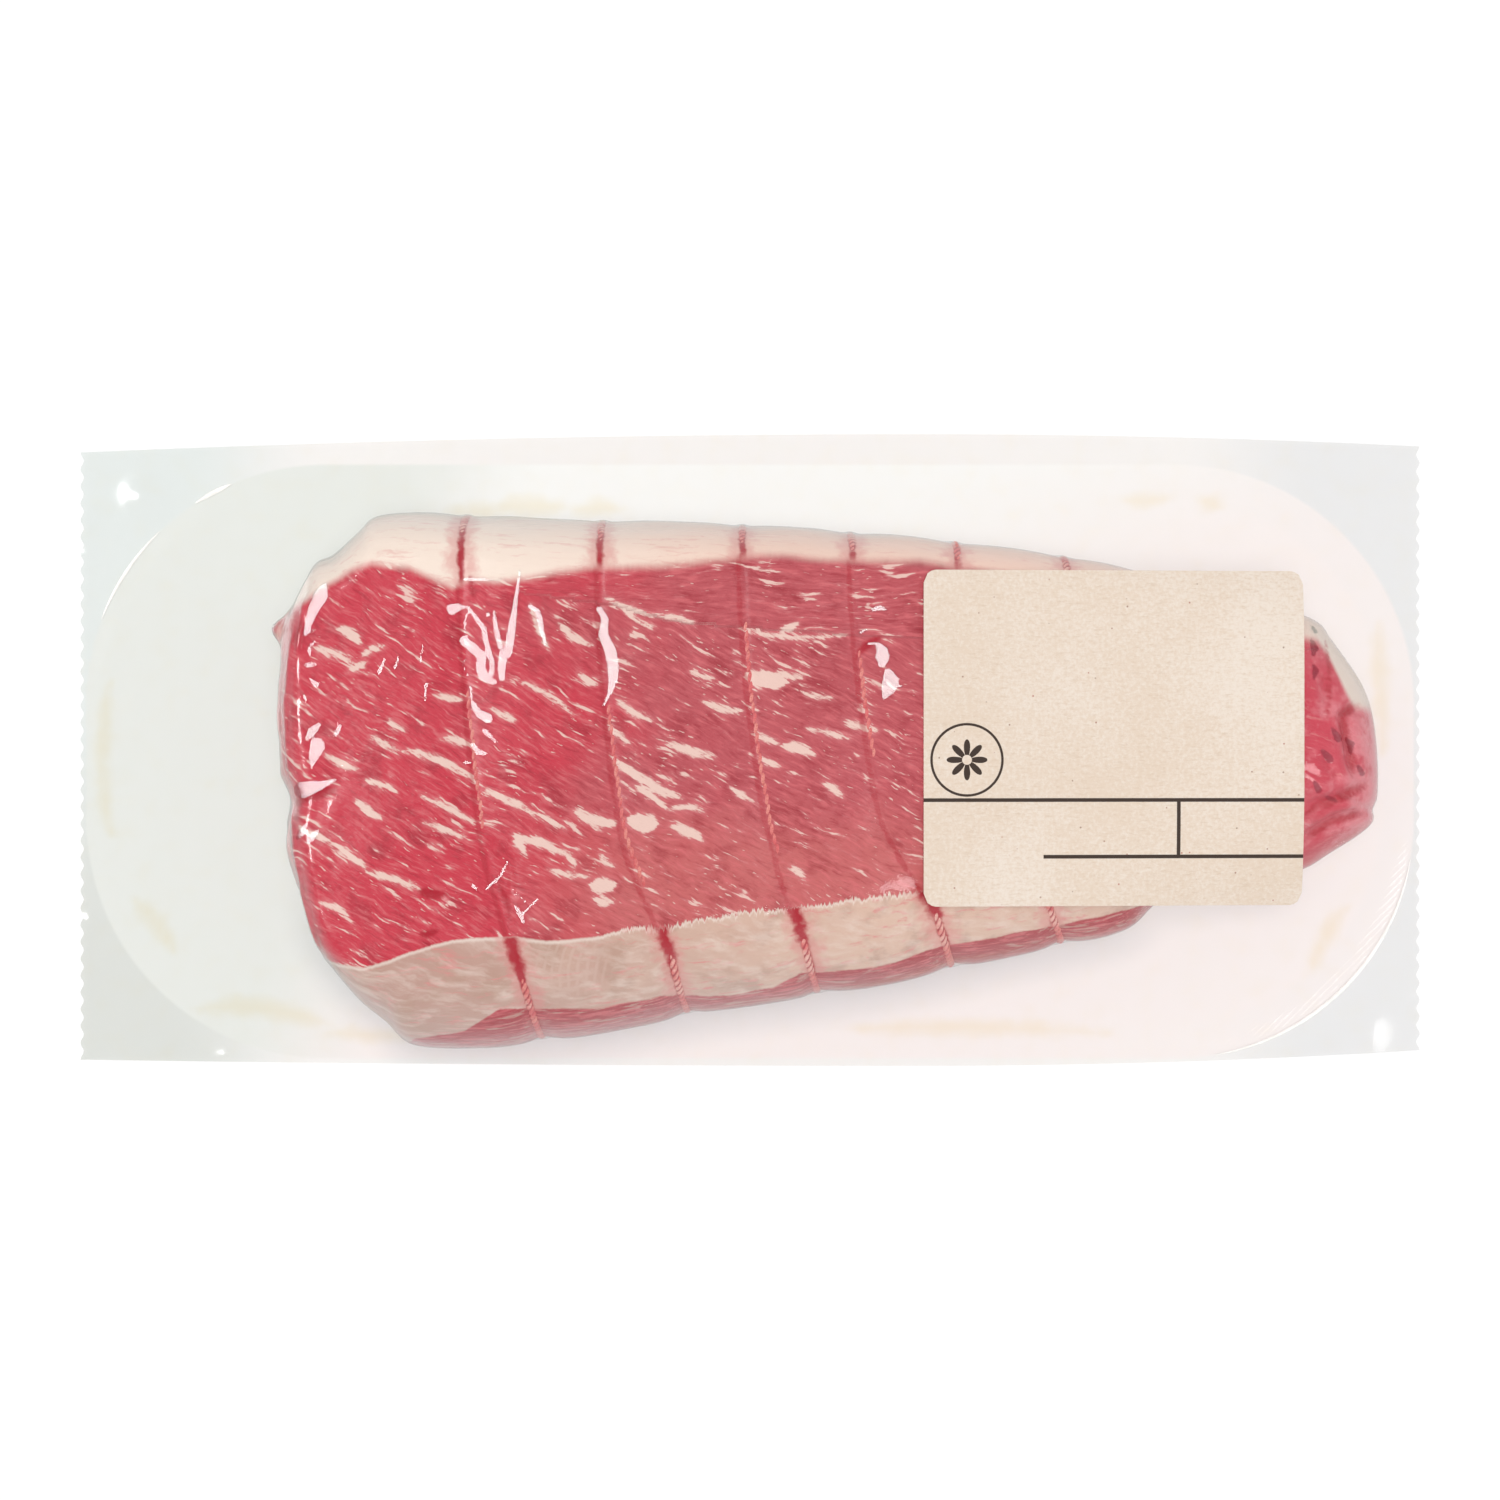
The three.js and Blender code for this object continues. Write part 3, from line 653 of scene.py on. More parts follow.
def build_twine(number, upper_x, seen, tree):
    """A loop of three-ply twine: a tube with three lobes that wind round it."""
    course, length = even_loop(smooth_loop(twine_course(tree, upper_x, seen), 4), TWINE_STEPS)
    ahead = np.roll(course, -1, axis=0) - np.roll(course, 1, axis=0)
    ahead /= np.linalg.norm(ahead, axis=1)[:, None]
    side = np.cross(ahead, np.array([1.0, 0.0, 0.0]))
    side /= np.linalg.norm(side, axis=1)[:, None]
    other = np.cross(ahead, side)
    turns = round(length / TWINE_LAY)
    wind = np.linspace(0, 2 * math.pi * turns, TWINE_STEPS, endpoint=False)[:, None]
    angle = np.linspace(0, 2 * math.pi, TWINE_SIDES, endpoint=False)[None, :]
    from_ply = (angle - wind) % (2 * math.pi / TWINE_PLIES) - math.pi / TWINE_PLIES
    ply = TWINE_RADIUS * PLY_RADIUS_SHARE
    centre = TWINE_RADIUS - ply
    radius = centre * np.cos(from_ply) + np.sqrt(ply**2 - (centre * np.sin(from_ply)) ** 2)
    grid = (course[:, None] + (radius * np.cos(angle))[..., None] * side[:, None]
            + (radius * np.sin(angle))[..., None] * other[:, None])
    grid = rolled_up(np.concatenate([grid, grid[:1]]))
    piece = add_grid(f"twine_{number}", grid)
    crest = np.cos(from_ply)
    set_attribute(piece, "ply_crest", rolled_up(np.concatenate([crest, crest[:1]])).ravel())
    set_attribute(piece, "fat", fat_depth(positions(piece)))
    close_seams(piece)
    return piece


# ---- film over the meat ----

FILM_GAP_FACE, FILM_GAP_SIDE = 0.25, 0.08
FILM_FOLD_SHARE = 0.35  # of a fold's depth, that the film over it follows
FILM_FOOT_HEIGHT = 1.03
FOOT_FLARE, FOOT_REACH = 1.5, 0.95  # how far the film runs out where it meets the web, and how fast
TWINE_BUMP, TWINE_BUMP_WIDTH = 0.55, 1.6  # where the film rides over a twine that stands proud

# Where the film is creased and one facet turns to the light, read off the photo: points along the
# facet's middle, each with its width there, in the photo's pixels.
GLINT_READINGS = [
    [(326, 586, 4), (322, 596, 14), (314, 612, 9), (306, 634, 4)], [(305, 635, 3), (316, 629, 2)],
    [(316, 642, 2), (311, 648, 3), (311, 654, 3)], [(306, 664, 4), (312, 664, 5), (316, 665, 3)],
    [(311, 678, 1.5), (316, 685, 6), (323, 684, 2)], [(304, 694, 2), (307, 700, 3)],
    [(320, 724, 3), (313, 733, 9), (306, 741, 2)], [(342, 725, 2), (338, 732, 5), (336, 736, 2)],
    [(318, 747, 16), (314, 757, 9), (312, 767, 2)], [(337, 779, 2), (320, 785, 9), (305, 790, 18)],
    [(307, 826, 3), (303, 833, 8), (299, 839, 2)], [(318, 831, 3), (313, 838, 8), (309, 844, 2)],
    [(427, 682, 3), (425, 702, 2)], [(423, 645, 2), (422, 662, 2)], [(385, 659, 2), (380, 672, 4)],
    [(399, 657, 2), (396, 669, 3)], [(467, 607, 1), (458, 608, 7), (452, 609, 12)],
    [(468, 607, 3), (484, 629, 5), (486, 643, 5), (492, 660, 5), (492, 672, 5)],
    [(465, 642, 10), (476, 650, 9), (482, 656, 9), (481, 668, 9), (485, 677, 9), (495, 683, 5)],
    [(495, 612, 2), (497, 630, 5), (500, 648, 5)],
    [(521, 570, 2), (516, 600, 4), (513, 630, 8), (508, 652, 9)],
    [(505, 652, 9), (503, 665, 8), (502, 679, 6)], [(468, 612, 2), (465, 624, 2), (466, 635, 2)],
    [(466, 659, 2), (463, 664, 2), (469, 676, 2)], [(488, 613, 4), (489, 618, 3)],
    [(529, 605, 3), (538, 612, 5), (541, 620, 6), (542, 632, 5), (546, 646, 3)],
    [(471, 686, 2), (472, 700, 2), (474, 706, 6), (481, 714, 8), (488, 719, 10)],
    [(485, 730, 4), (490, 737, 4), (499, 744, 2)], [(473, 745, 4), (478, 751, 6), (486, 753, 3)],
    [(463, 764, 2), (468, 761, 3), (472, 763, 2)],
    [(600, 610, 6), (605, 620, 7), (604, 636, 10), (611, 652, 12), (613, 667, 12),
     (613, 680, 9), (610, 694, 4), (604, 706, 1)],
    [(465, 580, 3), (502, 580, 2)], [(509, 860, 2), (500, 877, 3), (487, 889, 3)],
    [(520, 897, 2), (527, 902, 2)], [(538, 899, 2), (530, 907, 2), (523, 915, 2)],
    [(517, 906, 3), (521, 914, 5), (525, 923, 3)], [(473, 885, 3), (477, 889, 3)],
    [(859, 633, 2), (863, 631, 3), (867, 629, 2)],
    [(867, 643, 2), (876, 644, 4), (882, 650, 12), (882, 657, 15), (883, 663, 9)],
    [(888, 673, 9), (890, 680, 17), (888, 688, 15), (884, 696, 6)], [(893, 684, 6), (902, 686, 2)],
    [(873, 609, 4), (880, 608, 5), (887, 609, 2)],
]
# More of them, in millimetres.
GLINTS_BY_SIZE = [
    [(144, 28, 0.8), (144.5, 26, 2.2), (144, 24, 0.8)], [(144, 21.5, 0.8), (144.5, 20, 1.8), (144, 18, 0.8)],
    [(148.5, 5.5, 0.8), (150, 3, 2.2)], [(152.5, 3, 0.8), (154, 1.5, 2), (154, -1, 0.8)],
    [(146, -0.5, 1.4), (148, -2.5, 2)], [(144, -8, 1), (145, -10, 1.8)],
    [(144.5, 31.5, 0.8), (145.5, 30, 1.2)], [(156, -4, 0.8), (157, -6, 1.6)],
    [(147.5, -12, 1.2), (150, -13, 1)],
]
PHOTO_MIDDLE, FACE_SCALE = 750, 0.2525  # the photo's middle pixel, and millimetres a pixel on the cut face
THINNEST_GLINT = 0.5
GLINT_RISE = 0.1


def from_reading(x, y, width):
    """A reading as a place and width in millimetres, rounded to a half and to a tenth."""
    right, up = (x - PHOTO_MIDDLE) * FACE_SCALE, (PHOTO_MIDDLE - y) * FACE_SCALE
    return round(right * 2) / 2, round(up * 2) / 2, max(round(width * FACE_SCALE, 1), THINNEST_GLINT)


GLINTS = [[from_reading(*point) for point in path] for path in GLINT_READINGS] + GLINTS_BY_SIZE


def glint_depth(plan):
    """How far inside the nearest lit facet each point lies, in millimetres. It is negative outside."""
    depth = np.full(plan.shape[:-1], -2.0)
    for path in GLINTS:
        corners = np.array(path, float)
        middle, reach = corners[:, :2].mean(axis=0), np.ptp(corners[:, :2], axis=0).max() + 4
        near = np.abs(plan - middle).max(axis=-1) < reach
        gap, _, along = path_gap(plan[near], corners[:, :2])
        run = np.concatenate([[0], np.cumsum(np.linalg.norm(np.diff(corners[:, :2], axis=0), axis=1))])
        half = np.interp(along, run / run[-1], corners[:, 2]) / 2
        depth[near] = np.maximum(depth[near], half - gap)
    return depth


def film_under_edge(rays):
    """The film's lower edge: it stays tight down the meat's side and runs out at its foot."""
    rings = []
    for height in np.geomspace(FILM_FOOT_HEIGHT, WIDEST_HEIGHT, SIDE_RINGS, endpoint=False):
        flare = FOOT_FLARE * math.exp(-(height - FILM_FOOT_HEIGHT) / FOOT_REACH)
        rings.append((flare - rays["tuck"] * (1 - smoothstep(height, 1.5, WIDEST_HEIGHT)), height))
    return rings


def build_film_cover():
    """A closed bag of film that lies on the meat, with its creases."""
    rays = roast_rays(RAY_SPACING_FINE, RAY_SPACING_COARSE)
    plain = body_rings(rays, film_under_edge(rays))
    plan = plain[..., :2]
    face = face_share(plain)
    proud = np.maximum(1 - face, smoothstep(loop_share(plain), LOWER_FAT_SHARE - 0.03, LOWER_FAT_SHARE))
    relief = meat_relief(plain) + TWINE_BUMP * proud * groove(plain, TWINE_BUMP_WIDTH)
    relief -= FILM_FOLD_SHARE * valley_depth(plan, FOLDS) * smoothstep(plain[..., 2], *FOLD_HEIGHTS)
    glint = glint_depth(plan)
    lift = lerp(FILM_GAP_SIDE, FILM_GAP_FACE, face) + GLINT_RISE * smoothstep(glint, -1.2, 0.6) * face
    move = relief * above_floor(plain) + lift * smoothstep(plain[..., 2], 1.0, 1.6)
    piece = add_grid("film_cover", rolled_up(plain + grid_normals(plain) * move[..., None]))
    set_attribute(piece, "glint", rolled_up(glint).ravel())
    close_seams(piece)
    return piece


# ---- film web and its seal ----

WEB_ROWS, WEB_COLUMNS = 262, 158
BAND_BEVEL = 4.4
WEB_WAVE = 0.35
PUFFS = [  # soft blisters outside the seal: place, radius and height
    (-160, 66.5, 4.2, 1.4), (-157, 62.5, 2.4, 0.7), (-174, 52, 1.6, 0.5), (-173.5, -44.5, 1.8, 0.6),
    (-137, -80, 2.4, 0.8), (-140, 67.5, 2.0, 0.25), (160.5, -72.5, 7.5, 2.0), (166.5, -55, 2.2, 0.5),
    (172.5, -64.5, 1.4, 0.45), (173, -56, 1.2, 0.3), (168, 60, 7, 0.5),
]


def long_edge(x, ends):
    """From the centre line to a long edge at x. The edges bow out to the pack's widest place."""
    half = PACK_HIGH[0]
    end = np.where(x < WIDEST_AT_X, -half, half)
    corner = np.where(x < WIDEST_AT_X, ends[0], ends[1])
    return lerp(PACK_HIGH[1], corner, ((x - WIDEST_AT_X) / (end - WIDEST_AT_X)) ** 2)


def seal_depth(plan):
    """How far inside the seal's outer edge each point lies, in millimetres."""
    x = np.abs(plan[..., 0]) - (SEAL_LENGTH / 2 - SEAL_RADIUS)
    y = np.abs(plan[..., 1] - SEAL_CENTRE_Y) - (SEAL_WIDTH / 2 - SEAL_RADIUS)
    outside = np.hypot(np.maximum(x, 0), np.maximum(y, 0))
    return SEAL_RADIUS - outside - np.minimum(np.maximum(x, y), 0)


# Faint straw-coloured stains where juice has dried in the web: middle, length, slope and width.
WEB_STAINS = np.array([
    (-168, -2, 40, 90, 3.4), (-157, -46, 18, -52, 4.2), (-128, -70, 34, -7, 5.0), (-100, -75, 22, -4, 3.0),
    (-72, 63, 14, 0, 4.0), (-58, 64, 18, 0, 5.0), (-40, 63, 12, 0, 4.0), (104, 66, 12, 3, 3.0),
    (121, 65, 6, -20, 3.0), (166, 16, 34, 92, 4.0), (152, -50, 20, 60, 4.0), (60, -74, 70, -1, 3.5),
], float)


def build_film_web():
    """The joined films as one thin sheet, with pinked ends, a raised seal and soft blisters."""
    half = PACK_HIGH[0]
    v = np.linspace(0, 1, WEB_ROWS)[:, None]
    u = np.sin(np.linspace(-1, 1, WEB_COLUMNS) * math.pi / 2 * 0.7)
    u = (u / u[-1])[None, :]
    x = half * u + 0 * v
    y = lerp(-long_edge(x, LOWER_EDGE), long_edge(x, UPPER_EDGE), v)
    waves = round((LOWER_EDGE[0] + UPPER_EDGE[0]) / PINK_PITCH)
    cut = PINK_DEPTH * (1 - np.cos(v * waves * 2 * math.pi)) / 2
    x -= np.sign(x) * cut * smoothstep(np.abs(u), 0.97, 1)
    plan = np.stack([x, y], axis=-1)
    depth = seal_depth(plan)
    band = smoothstep(depth, 0, BAND_BEVEL) * (1 - smoothstep(depth, SEAL_BAND - BAND_BEVEL, SEAL_BAND))
    flat = np.dstack([plan, np.zeros_like(x)])
    away = np.linalg.norm(flat[..., None, :2] - OUTLINE[::10], axis=-1).min(axis=-1)
    wave = WEB_WAVE * (perlin(flat, 42, 21) + 0.5 * perlin(flat, 15, 22)) * smoothstep(away, 4, 25)
    puffs = sum(top * np.exp(-((plan - (px, py)) ** 2).sum(axis=-1) / radius**2)
                for px, py, radius, top in PUFFS)
    band *= lerp(0.4, 1, smoothstep(x, -40, 110))
    z = WEB_TOP + SEAL_PROUD * band + wave + puffs * (1 - smoothstep(depth, -4, 0))
    piece = add_grid("film_web", np.dstack([plan, np.maximum(z, WEB_TOP - WEB_BOTTOM)]))
    set_attribute(piece, "seal_depth", np.clip(depth, -20, 40).ravel())
    set_attribute(piece, "stain", streak_depth(plan.reshape(-1, 2), WEB_STAINS))
    set_attribute(piece, "from_roast", away.ravel())
    thicken(piece, WEB_TOP - WEB_BOTTOM)
    return piece


# Where white ribs along the seal's edge stand in for its glints, a painted highlight: its corner, from and to
# which angle, and half width.
SEAL_CREASES = [((-1, 1), 159, 134, 0.42), ((-1, 1), 123, 113, 0.6), ((1, -1), -10, -80, 0.5)]
CREASE_SAMPLES, CREASE_RISE, CREASE_THICKNESS = 60, 0.5, 0.2


def build_seal_crease(number, corner, first, last, half_width):
    """A low rib along the outer edge of the seal's corner, that thins out to its ends."""
    from_centre = (SEAL_LENGTH / 2 - SEAL_RADIUS, SEAL_WIDTH / 2 - SEAL_RADIUS)
    middle = np.array(corner) * from_centre + (0, SEAL_CENTRE_Y)
    angle = np.radians(np.linspace(first, last, CREASE_SAMPLES))
    width = half_width * np.sin(np.linspace(0, math.pi, CREASE_SAMPLES)) ** 0.6
    rows = []
    for across, rise in ((-1, 0), (-0.5, 0.75), (0, 1), (0.5, 0.75), (1, 0)):
        reach = SEAL_RADIUS + across * width
        plan = middle + np.column_stack([np.cos(angle), np.sin(angle)]) * reach[:, None]
        rows.append(np.column_stack([plan, WEB_TOP + SEAL_PROUD * 0.5 + CREASE_RISE * rise * width]))
    piece = add_grid(f"seal_crease_{number}", np.stack(rows))
    thicken(piece, CREASE_THICKNESS)
    return piece


# ---- label ----

LABEL_LENGTH, LABEL_WIDTH, LABEL_THICKNESS = 97.2, 85.4, 0.35
LABEL_CENTRE = np.array([92.6, 3])
LABEL_CORNER = 3.3
LABEL_GAP = 0.75
UPPER_HANG, LOWER_HANG = (12, 45), (24, 60)  # from the rim, and radius of the bend
HANG_BLEND = (-10, 20)


def inside_roast(plan):
    """How far each point lies inside the roast's outline. It is negative outside."""
    ring = OUTLINE[::6]
    gap = np.linalg.norm(plan[:, None] - ring[None], axis=2).min(axis=1)
    after = np.roll(ring, -1, axis=0)
    crossed = np.zeros(len(plan), int)
    for (px, py), (qx, qy) in zip(ring, after):
        if py != qy:
            between = (py > plan[:, 1]) != (qy > plan[:, 1])
            crossed += between & (plan[:, 0] < lerp(px, qx, (plan[:, 1] - py) / (qy - py)))
    return np.where(crossed % 2, gap, -gap)


def build_label():
    """The paper label, bent over the roast as its solid is."""
    along = np.linspace(-1, 1, 97) * LABEL_LENGTH / 2
    into = np.maximum(0, np.abs(along) - (LABEL_LENGTH / 2 - LABEL_CORNER))
    half = LABEL_WIDTH / 2 - LABEL_CORNER + np.sqrt(np.maximum(0, LABEL_CORNER**2 - into**2))
    across = np.linspace(-1, 1, 85)[:, None] * half[None, :]
    x = LABEL_CENTRE[0] + along[None, :] + 0 * across
    y = LABEL_CENTRE[1] + across
    plan = np.stack([x, y], axis=-1)
    towards_lower = smoothstep(-y, *HANG_BLEND)
    start = lerp(UPPER_HANG[0], LOWER_HANG[0], towards_lower)
    radius = lerp(UPPER_HANG[1], LOWER_HANG[1], towards_lower)
    beyond = np.maximum(0, start - inside_roast(plan.reshape(-1, 2)).reshape(x.shape))
    z = face_height(x) + FACE_CROWN + LABEL_GAP - beyond**2 / (2 * radius)
    piece = add_grid("label_paper", np.dstack([plan, z + LABEL_THICKNESS]))
    thicken(piece, LABEL_THICKNESS)
    return piece


# ---- materials ----

class Nodes:
    """Adds nodes to a tree, and joins each to what feeds it."""

    def __init__(self, tree):
        self.tree = tree
        tree.nodes.clear()

    def add(self, kind, inputs=None, **settings):
        node = self.tree.nodes.new(kind)
        for name, value in settings.items():
            setattr(node, name, value)
        for key, value in (inputs or {}).items():
            self.feed(node.inputs[key], value)
        return node

    def feed(self, socket, value):
        if isinstance(value, bpy.types.NodeSocket):
            self.tree.links.new(value, socket)
        else:
            socket.default_value = value

    def math(self, operation, a, b=0.0, c=0.0):
        return self.add("ShaderNodeMath", {0: a, 1: b, 2: c}, operation=operation).outputs[0]

    def times(self, a, b):
        return self.math("MULTIPLY", a, b)

    def plus(self, a, b):
        return self.math("ADD", a, b)

    def most(self, a, b):
        return self.math("MAXIMUM", a, b)

    def less(self, a):
        """One less the value."""
        return self.math("SUBTRACT", 1.0, a)

    def split(self, where):
        return self.add("ShaderNodeSeparateXYZ", {0: where}).outputs

    def ramp(self, value, low, high):
        """0 up to low, 1 from high, and a smooth rise between. With low above high, it falls."""
        inputs = {"Value": value, "From Min": low, "From Max": high}
        return self.add("ShaderNodeMapRange", inputs, interpolation_type="SMOOTHSTEP").outputs[0]

    def blend(self, a, b, share, kind="MIX"):
        """From colour a to colour b by the share."""
        inputs = {0: share, 6: a, 7: b}
        return self.add("ShaderNodeMix", inputs, data_type="RGBA", blend_type=kind).outputs[2]

    def tinted(self, colour, tint, share):
        return self.blend(colour, tint, share, "MULTIPLY")

    def place(self, source, scale=(1, 1, 1), turn=0.0, move=(0, 0, 0)):
        inputs = {"Vector": source, "Scale": scale, "Rotation": (0, 0, math.radians(turn)), "Location": move}
        return self.add("ShaderNodeMapping", inputs).outputs[0]

    def object_mm(self):
        """Object coordinates in millimetres."""
        source = self.add("ShaderNodeTexCoord").outputs["Object"]
        return self.place(source, (1 / MM,) * 3)

    def attribute(self, name, output="Fac"):
        return self.add("ShaderNodeAttribute", attribute_name=name).outputs[output]

    def noise(self, where, size, detail=3.0, roughness=0.55, distortion=0.0):
        """Noise from 0 to 1 with lumps of about this size in the units of where."""
        inputs = {"Vector": where, "Scale": 1 / size, "Detail": detail, "Roughness": roughness,
                  "Distortion": distortion}
        return self.add("ShaderNodeTexNoise", inputs).outputs["Fac"]

    def bump(self, height, distance, strength=1.0, normal=None):
        node = self.add("ShaderNodeBump", {"Height": height, "Distance": distance * MM, "Strength": strength})
        if normal is not None:
            self.feed(node.inputs["Normal"], normal)
        return node.outputs[0]


def new_group(name, inputs, outputs):
    """A node group and its nodes. inputs and outputs are pairs of a socket's name and kind."""
    tree = bpy.data.node_groups.new(name, "ShaderNodeTree")
    for direction, sockets in (("INPUT", inputs), ("OUTPUT", outputs)):
        for socket, kind in sockets:
            tree.interface.new_socket(name=socket, in_out=direction, socket_type="NodeSocket" + kind)
    nodes = Nodes(tree)
    return tree, nodes, nodes.add("NodeGroupInput").outputs, nodes.add("NodeGroupOutput").inputs


def new_material(name):
    material = bpy.data.materials.new(name)
    material.use_nodes = True
    nodes = Nodes(material.node_tree)
    return material, nodes, nodes.add("ShaderNodeOutputMaterial").inputs["Surface"]


def juice_group():
    """Meat juice: how much of it stains a place near the twine, from the distance to the twine."""
    tree, nodes, given, out = new_group(
        "meat_juice", [("Where", "Vector"), ("Gap", "Float"), ("Reach", "Float")], [("Stain", "Float")])
    ragged = nodes.times(nodes.math("SUBTRACT", nodes.noise(given["Where"], 3.0, 4), 0.5), 1.6)
    gap = nodes.plus(nodes.math("DIVIDE", given["Gap"], given["Reach"]), ragged)
    nodes.feed(out["Stain"], nodes.ramp(gap, 1.0, 0.25))
    return tree


def fibre_group():
    """Fine fibres that lie along the first axis: their shade, and a height for bump."""
    tree, nodes, given, out = new_group(
        "fine_fibres", [("Where", "Vector"), ("Length", "Float"), ("Width", "Float")],
        [("Shade", "Float"), ("Height", "Float")])
    along, across = (nodes.math("DIVIDE", 1.0, given[size]) for size in ("Length", "Width"))
    scale = nodes.add("ShaderNodeCombineXYZ", {0: along, 1: across, 2: 1.0}).outputs[0]
    inputs = {0: given["Where"], 1: scale}
    stretched = nodes.add("ShaderNodeVectorMath", inputs, operation="MULTIPLY").outputs[0]
    nodes.feed(out["Shade"], nodes.noise(stretched, 1.0, 4, 0.65))
    nodes.feed(out["Height"], nodes.noise(stretched, 0.6, 2))
    return tree


def crinkle_group():
    """Small creases in clear film: a height for bump."""
    tree, nodes, given, out = new_group("film_crinkle", [("Where", "Vector"), ("Size", "Float")],
                                        [("Height", "Float")])
    scaled = nodes.add("ShaderNodeVectorMath", {0: given["Where"]}, operation="SCALE")
    nodes.feed(scaled.inputs["Scale"], nodes.math("DIVIDE", 1.0, given["Size"]))
    where = scaled.outputs["Vector"]
    bent = nodes.noise(where, 1.0, 2, 0.5, 0.6)
    ridge = nodes.less(nodes.math("ABSOLUTE", nodes.times(nodes.math("SUBTRACT", bent, 0.5), 7.0)))
    nodes.feed(out["Height"], nodes.math("MAXIMUM", ridge, 0.0))
    return tree


JUICE, FIBRES, CRINKLE = juice_group(), fibre_group(), crinkle_group()


def placed_group(nodes, tree, inputs):
    node = nodes.add("ShaderNodeGroup", node_tree=tree)
    for name, value in inputs.items():
        nodes.feed(node.inputs[name], value)
    return node.outputs


LEAN_RED, LEAN_DUSKY, LEAN_SOFT = srgb(203, 52, 72), srgb(187, 82, 91), srgb(202, 108, 106)
LEAN_PALE, LEAN_DARK, LEAN_SIDE_AND_SHADE = srgb(218, 112, 118), srgb(150, 20, 40), srgb(166, 14, 38)
# The pale stripes on the thick end's side are the juicy meat under the film with a painted sheen of the
# film's pleats.
END_RED, END_PINK_SHEEN = srgb(204, 84, 96), srgb(240, 176, 176)  # the thick end's side, behind its pleats
EAR_PALE = srgb(240, 204, 190)
TIP_RED, TIP_PINK, TIP_FILM = srgb(203, 58, 80), srgb(224, 132, 142), srgb(222, 213, 202)
MARBLING_CREAM, MARBLING_PINK = srgb(234, 202, 192), srgb(216, 130, 134)
FAT_UPPER, FAT_UPPER_PINK = srgb(246, 231, 218), srgb(241, 210, 194)
# The lower fat's colours are its own tan and partly painted shade, where it slopes away from the light.
FAT_LOWER_AND_SHADE, FAT_LOWER_PALE = srgb(192, 155, 143), srgb(219, 189, 171)
FAT_PINK, FAT_TAN, FAT_SILVER = srgb(218, 140, 138), srgb(186, 152, 136), srgb(236, 222, 212)
JUICE_RED, JUICE_POOLED = srgb(172, 10, 38), srgb(172, 2, 36)


def stretched(nodes, where, length, width, bend=None):
    """Coordinates in which lumps come out this long and this wide. bend moves them across the grain."""
    if bend is not None:
        shift = nodes.add("ShaderNodeCombineXYZ", {0: 0.0, 1: bend, 2: 0.0}).outputs[0]
        where = nodes.add("ShaderNodeVectorMath", {0: where, 1: shift}, operation="ADD").outputs[0]
    return nodes.place(where, (1 / length, 1 / width, 1 / width))


def centred_noise(nodes, where, size, amount, detail=3.0, roughness=0.55):
    """Noise about zero, from minus to plus half this amount."""
    return nodes.times(nodes.math("SUBTRACT", nodes.noise(where, size, detail, roughness), 0.5), amount)


def lean_colour(nodes, mm, x, y, grain):
    """Lean beef: red at the thick end and duskier to the right, with fibres along the grain."""
    bend = centred_noise(nodes, mm, 16.0, 5.0)
    fibres = nodes.noise(stretched(nodes, grain, 6.0, 1.1, bend), 1.0, 3, 0.55)
    threads = nodes.noise(stretched(nodes, grain, 2.4, 0.35, bend), 1.0, 2, 0.6)
    patches = nodes.plus(nodes.ramp(x, -95.0, 15.0), centred_noise(nodes, mm, 20.0, 1.3, 4))
    colour = nodes.blend(LEAN_RED, LEAN_DUSKY, nodes.ramp(patches, 0.1, 0.9))
    soft = nodes.times(nodes.ramp(nodes.plus(y, centred_noise(nodes, mm, 12.0, 20.0, 3)), -8.0, -30.0),
                       nodes.ramp(x, -70.0, -20.0))
    colour = nodes.blend(colour, LEAN_SOFT, nodes.times(soft, 0.7))
    colour = nodes.blend(colour, LEAN_DARK, nodes.times(nodes.ramp(nodes.noise(mm, 9.0, 5), 0.5, 0.68), 0.5))
    colour = nodes.blend(colour, LEAN_PALE, nodes.times(nodes.ramp(fibres, 0.5, 0.7), 0.6))
    colour = nodes.blend(colour, LEAN_DARK, nodes.times(nodes.ramp(fibres, 0.47, 0.3), 0.4))
    colour = nodes.blend(colour, LEAN_PALE, nodes.times(nodes.ramp(threads, 0.55, 0.68), 0.25))
    colour = nodes.blend(colour, LEAN_DARK, nodes.times(nodes.ramp(threads, 0.4, 0.3), 0.25))
    return colour, fibres, bend


def marbling(nodes, mm, grain, bend):
    """How much a place is marbling, and how much its pink border: listed streaks and strewn ones."""
    ragged = centred_noise(nodes, stretched(nodes, grain, 4.2, 0.8), 1.0, 3.8, 5, 0.65)
    depth = nodes.plus(nodes.attribute("marbling"), ragged)
    main, border = nodes.ramp(depth, -0.45, 0.15), nodes.ramp(depth, -1.5, 0.0)
    cluster = centred_noise(nodes, mm, 15.0, 0.3, 3)
    torn = nodes.plus(cluster, centred_noise(nodes, stretched(nodes, grain, 2.2, 0.8), 1.0, 0.18, 5, 0.7))
    streak = nodes.plus(nodes.noise(stretched(nodes, grain, 9.0, 1.5, bend), 1.0, 3, 0.5), torn)
    fleck = nodes.plus(nodes.noise(stretched(nodes, grain, 3.2, 0.7, bend), 1.0, 2, 0.5), torn)
    strewn = nodes.most(nodes.ramp(streak, 0.63, 0.69), nodes.times(nodes.ramp(fleck, 0.68, 0.73), 0.85))
    faint = nodes.ramp(streak, 0.55, 0.66)
    on_face = nodes.ramp(nodes.attribute("cut_face"), 0.05, 0.5)
    return (nodes.times(nodes.most(main, nodes.times(strewn, 0.9)), on_face),
            nodes.times(nodes.most(border, faint), on_face))


ARCS_CENTRE, ARCS_ROUND = (-46, -54, 58), (22, 60, 0)  # silvery skin lines in the lower fat


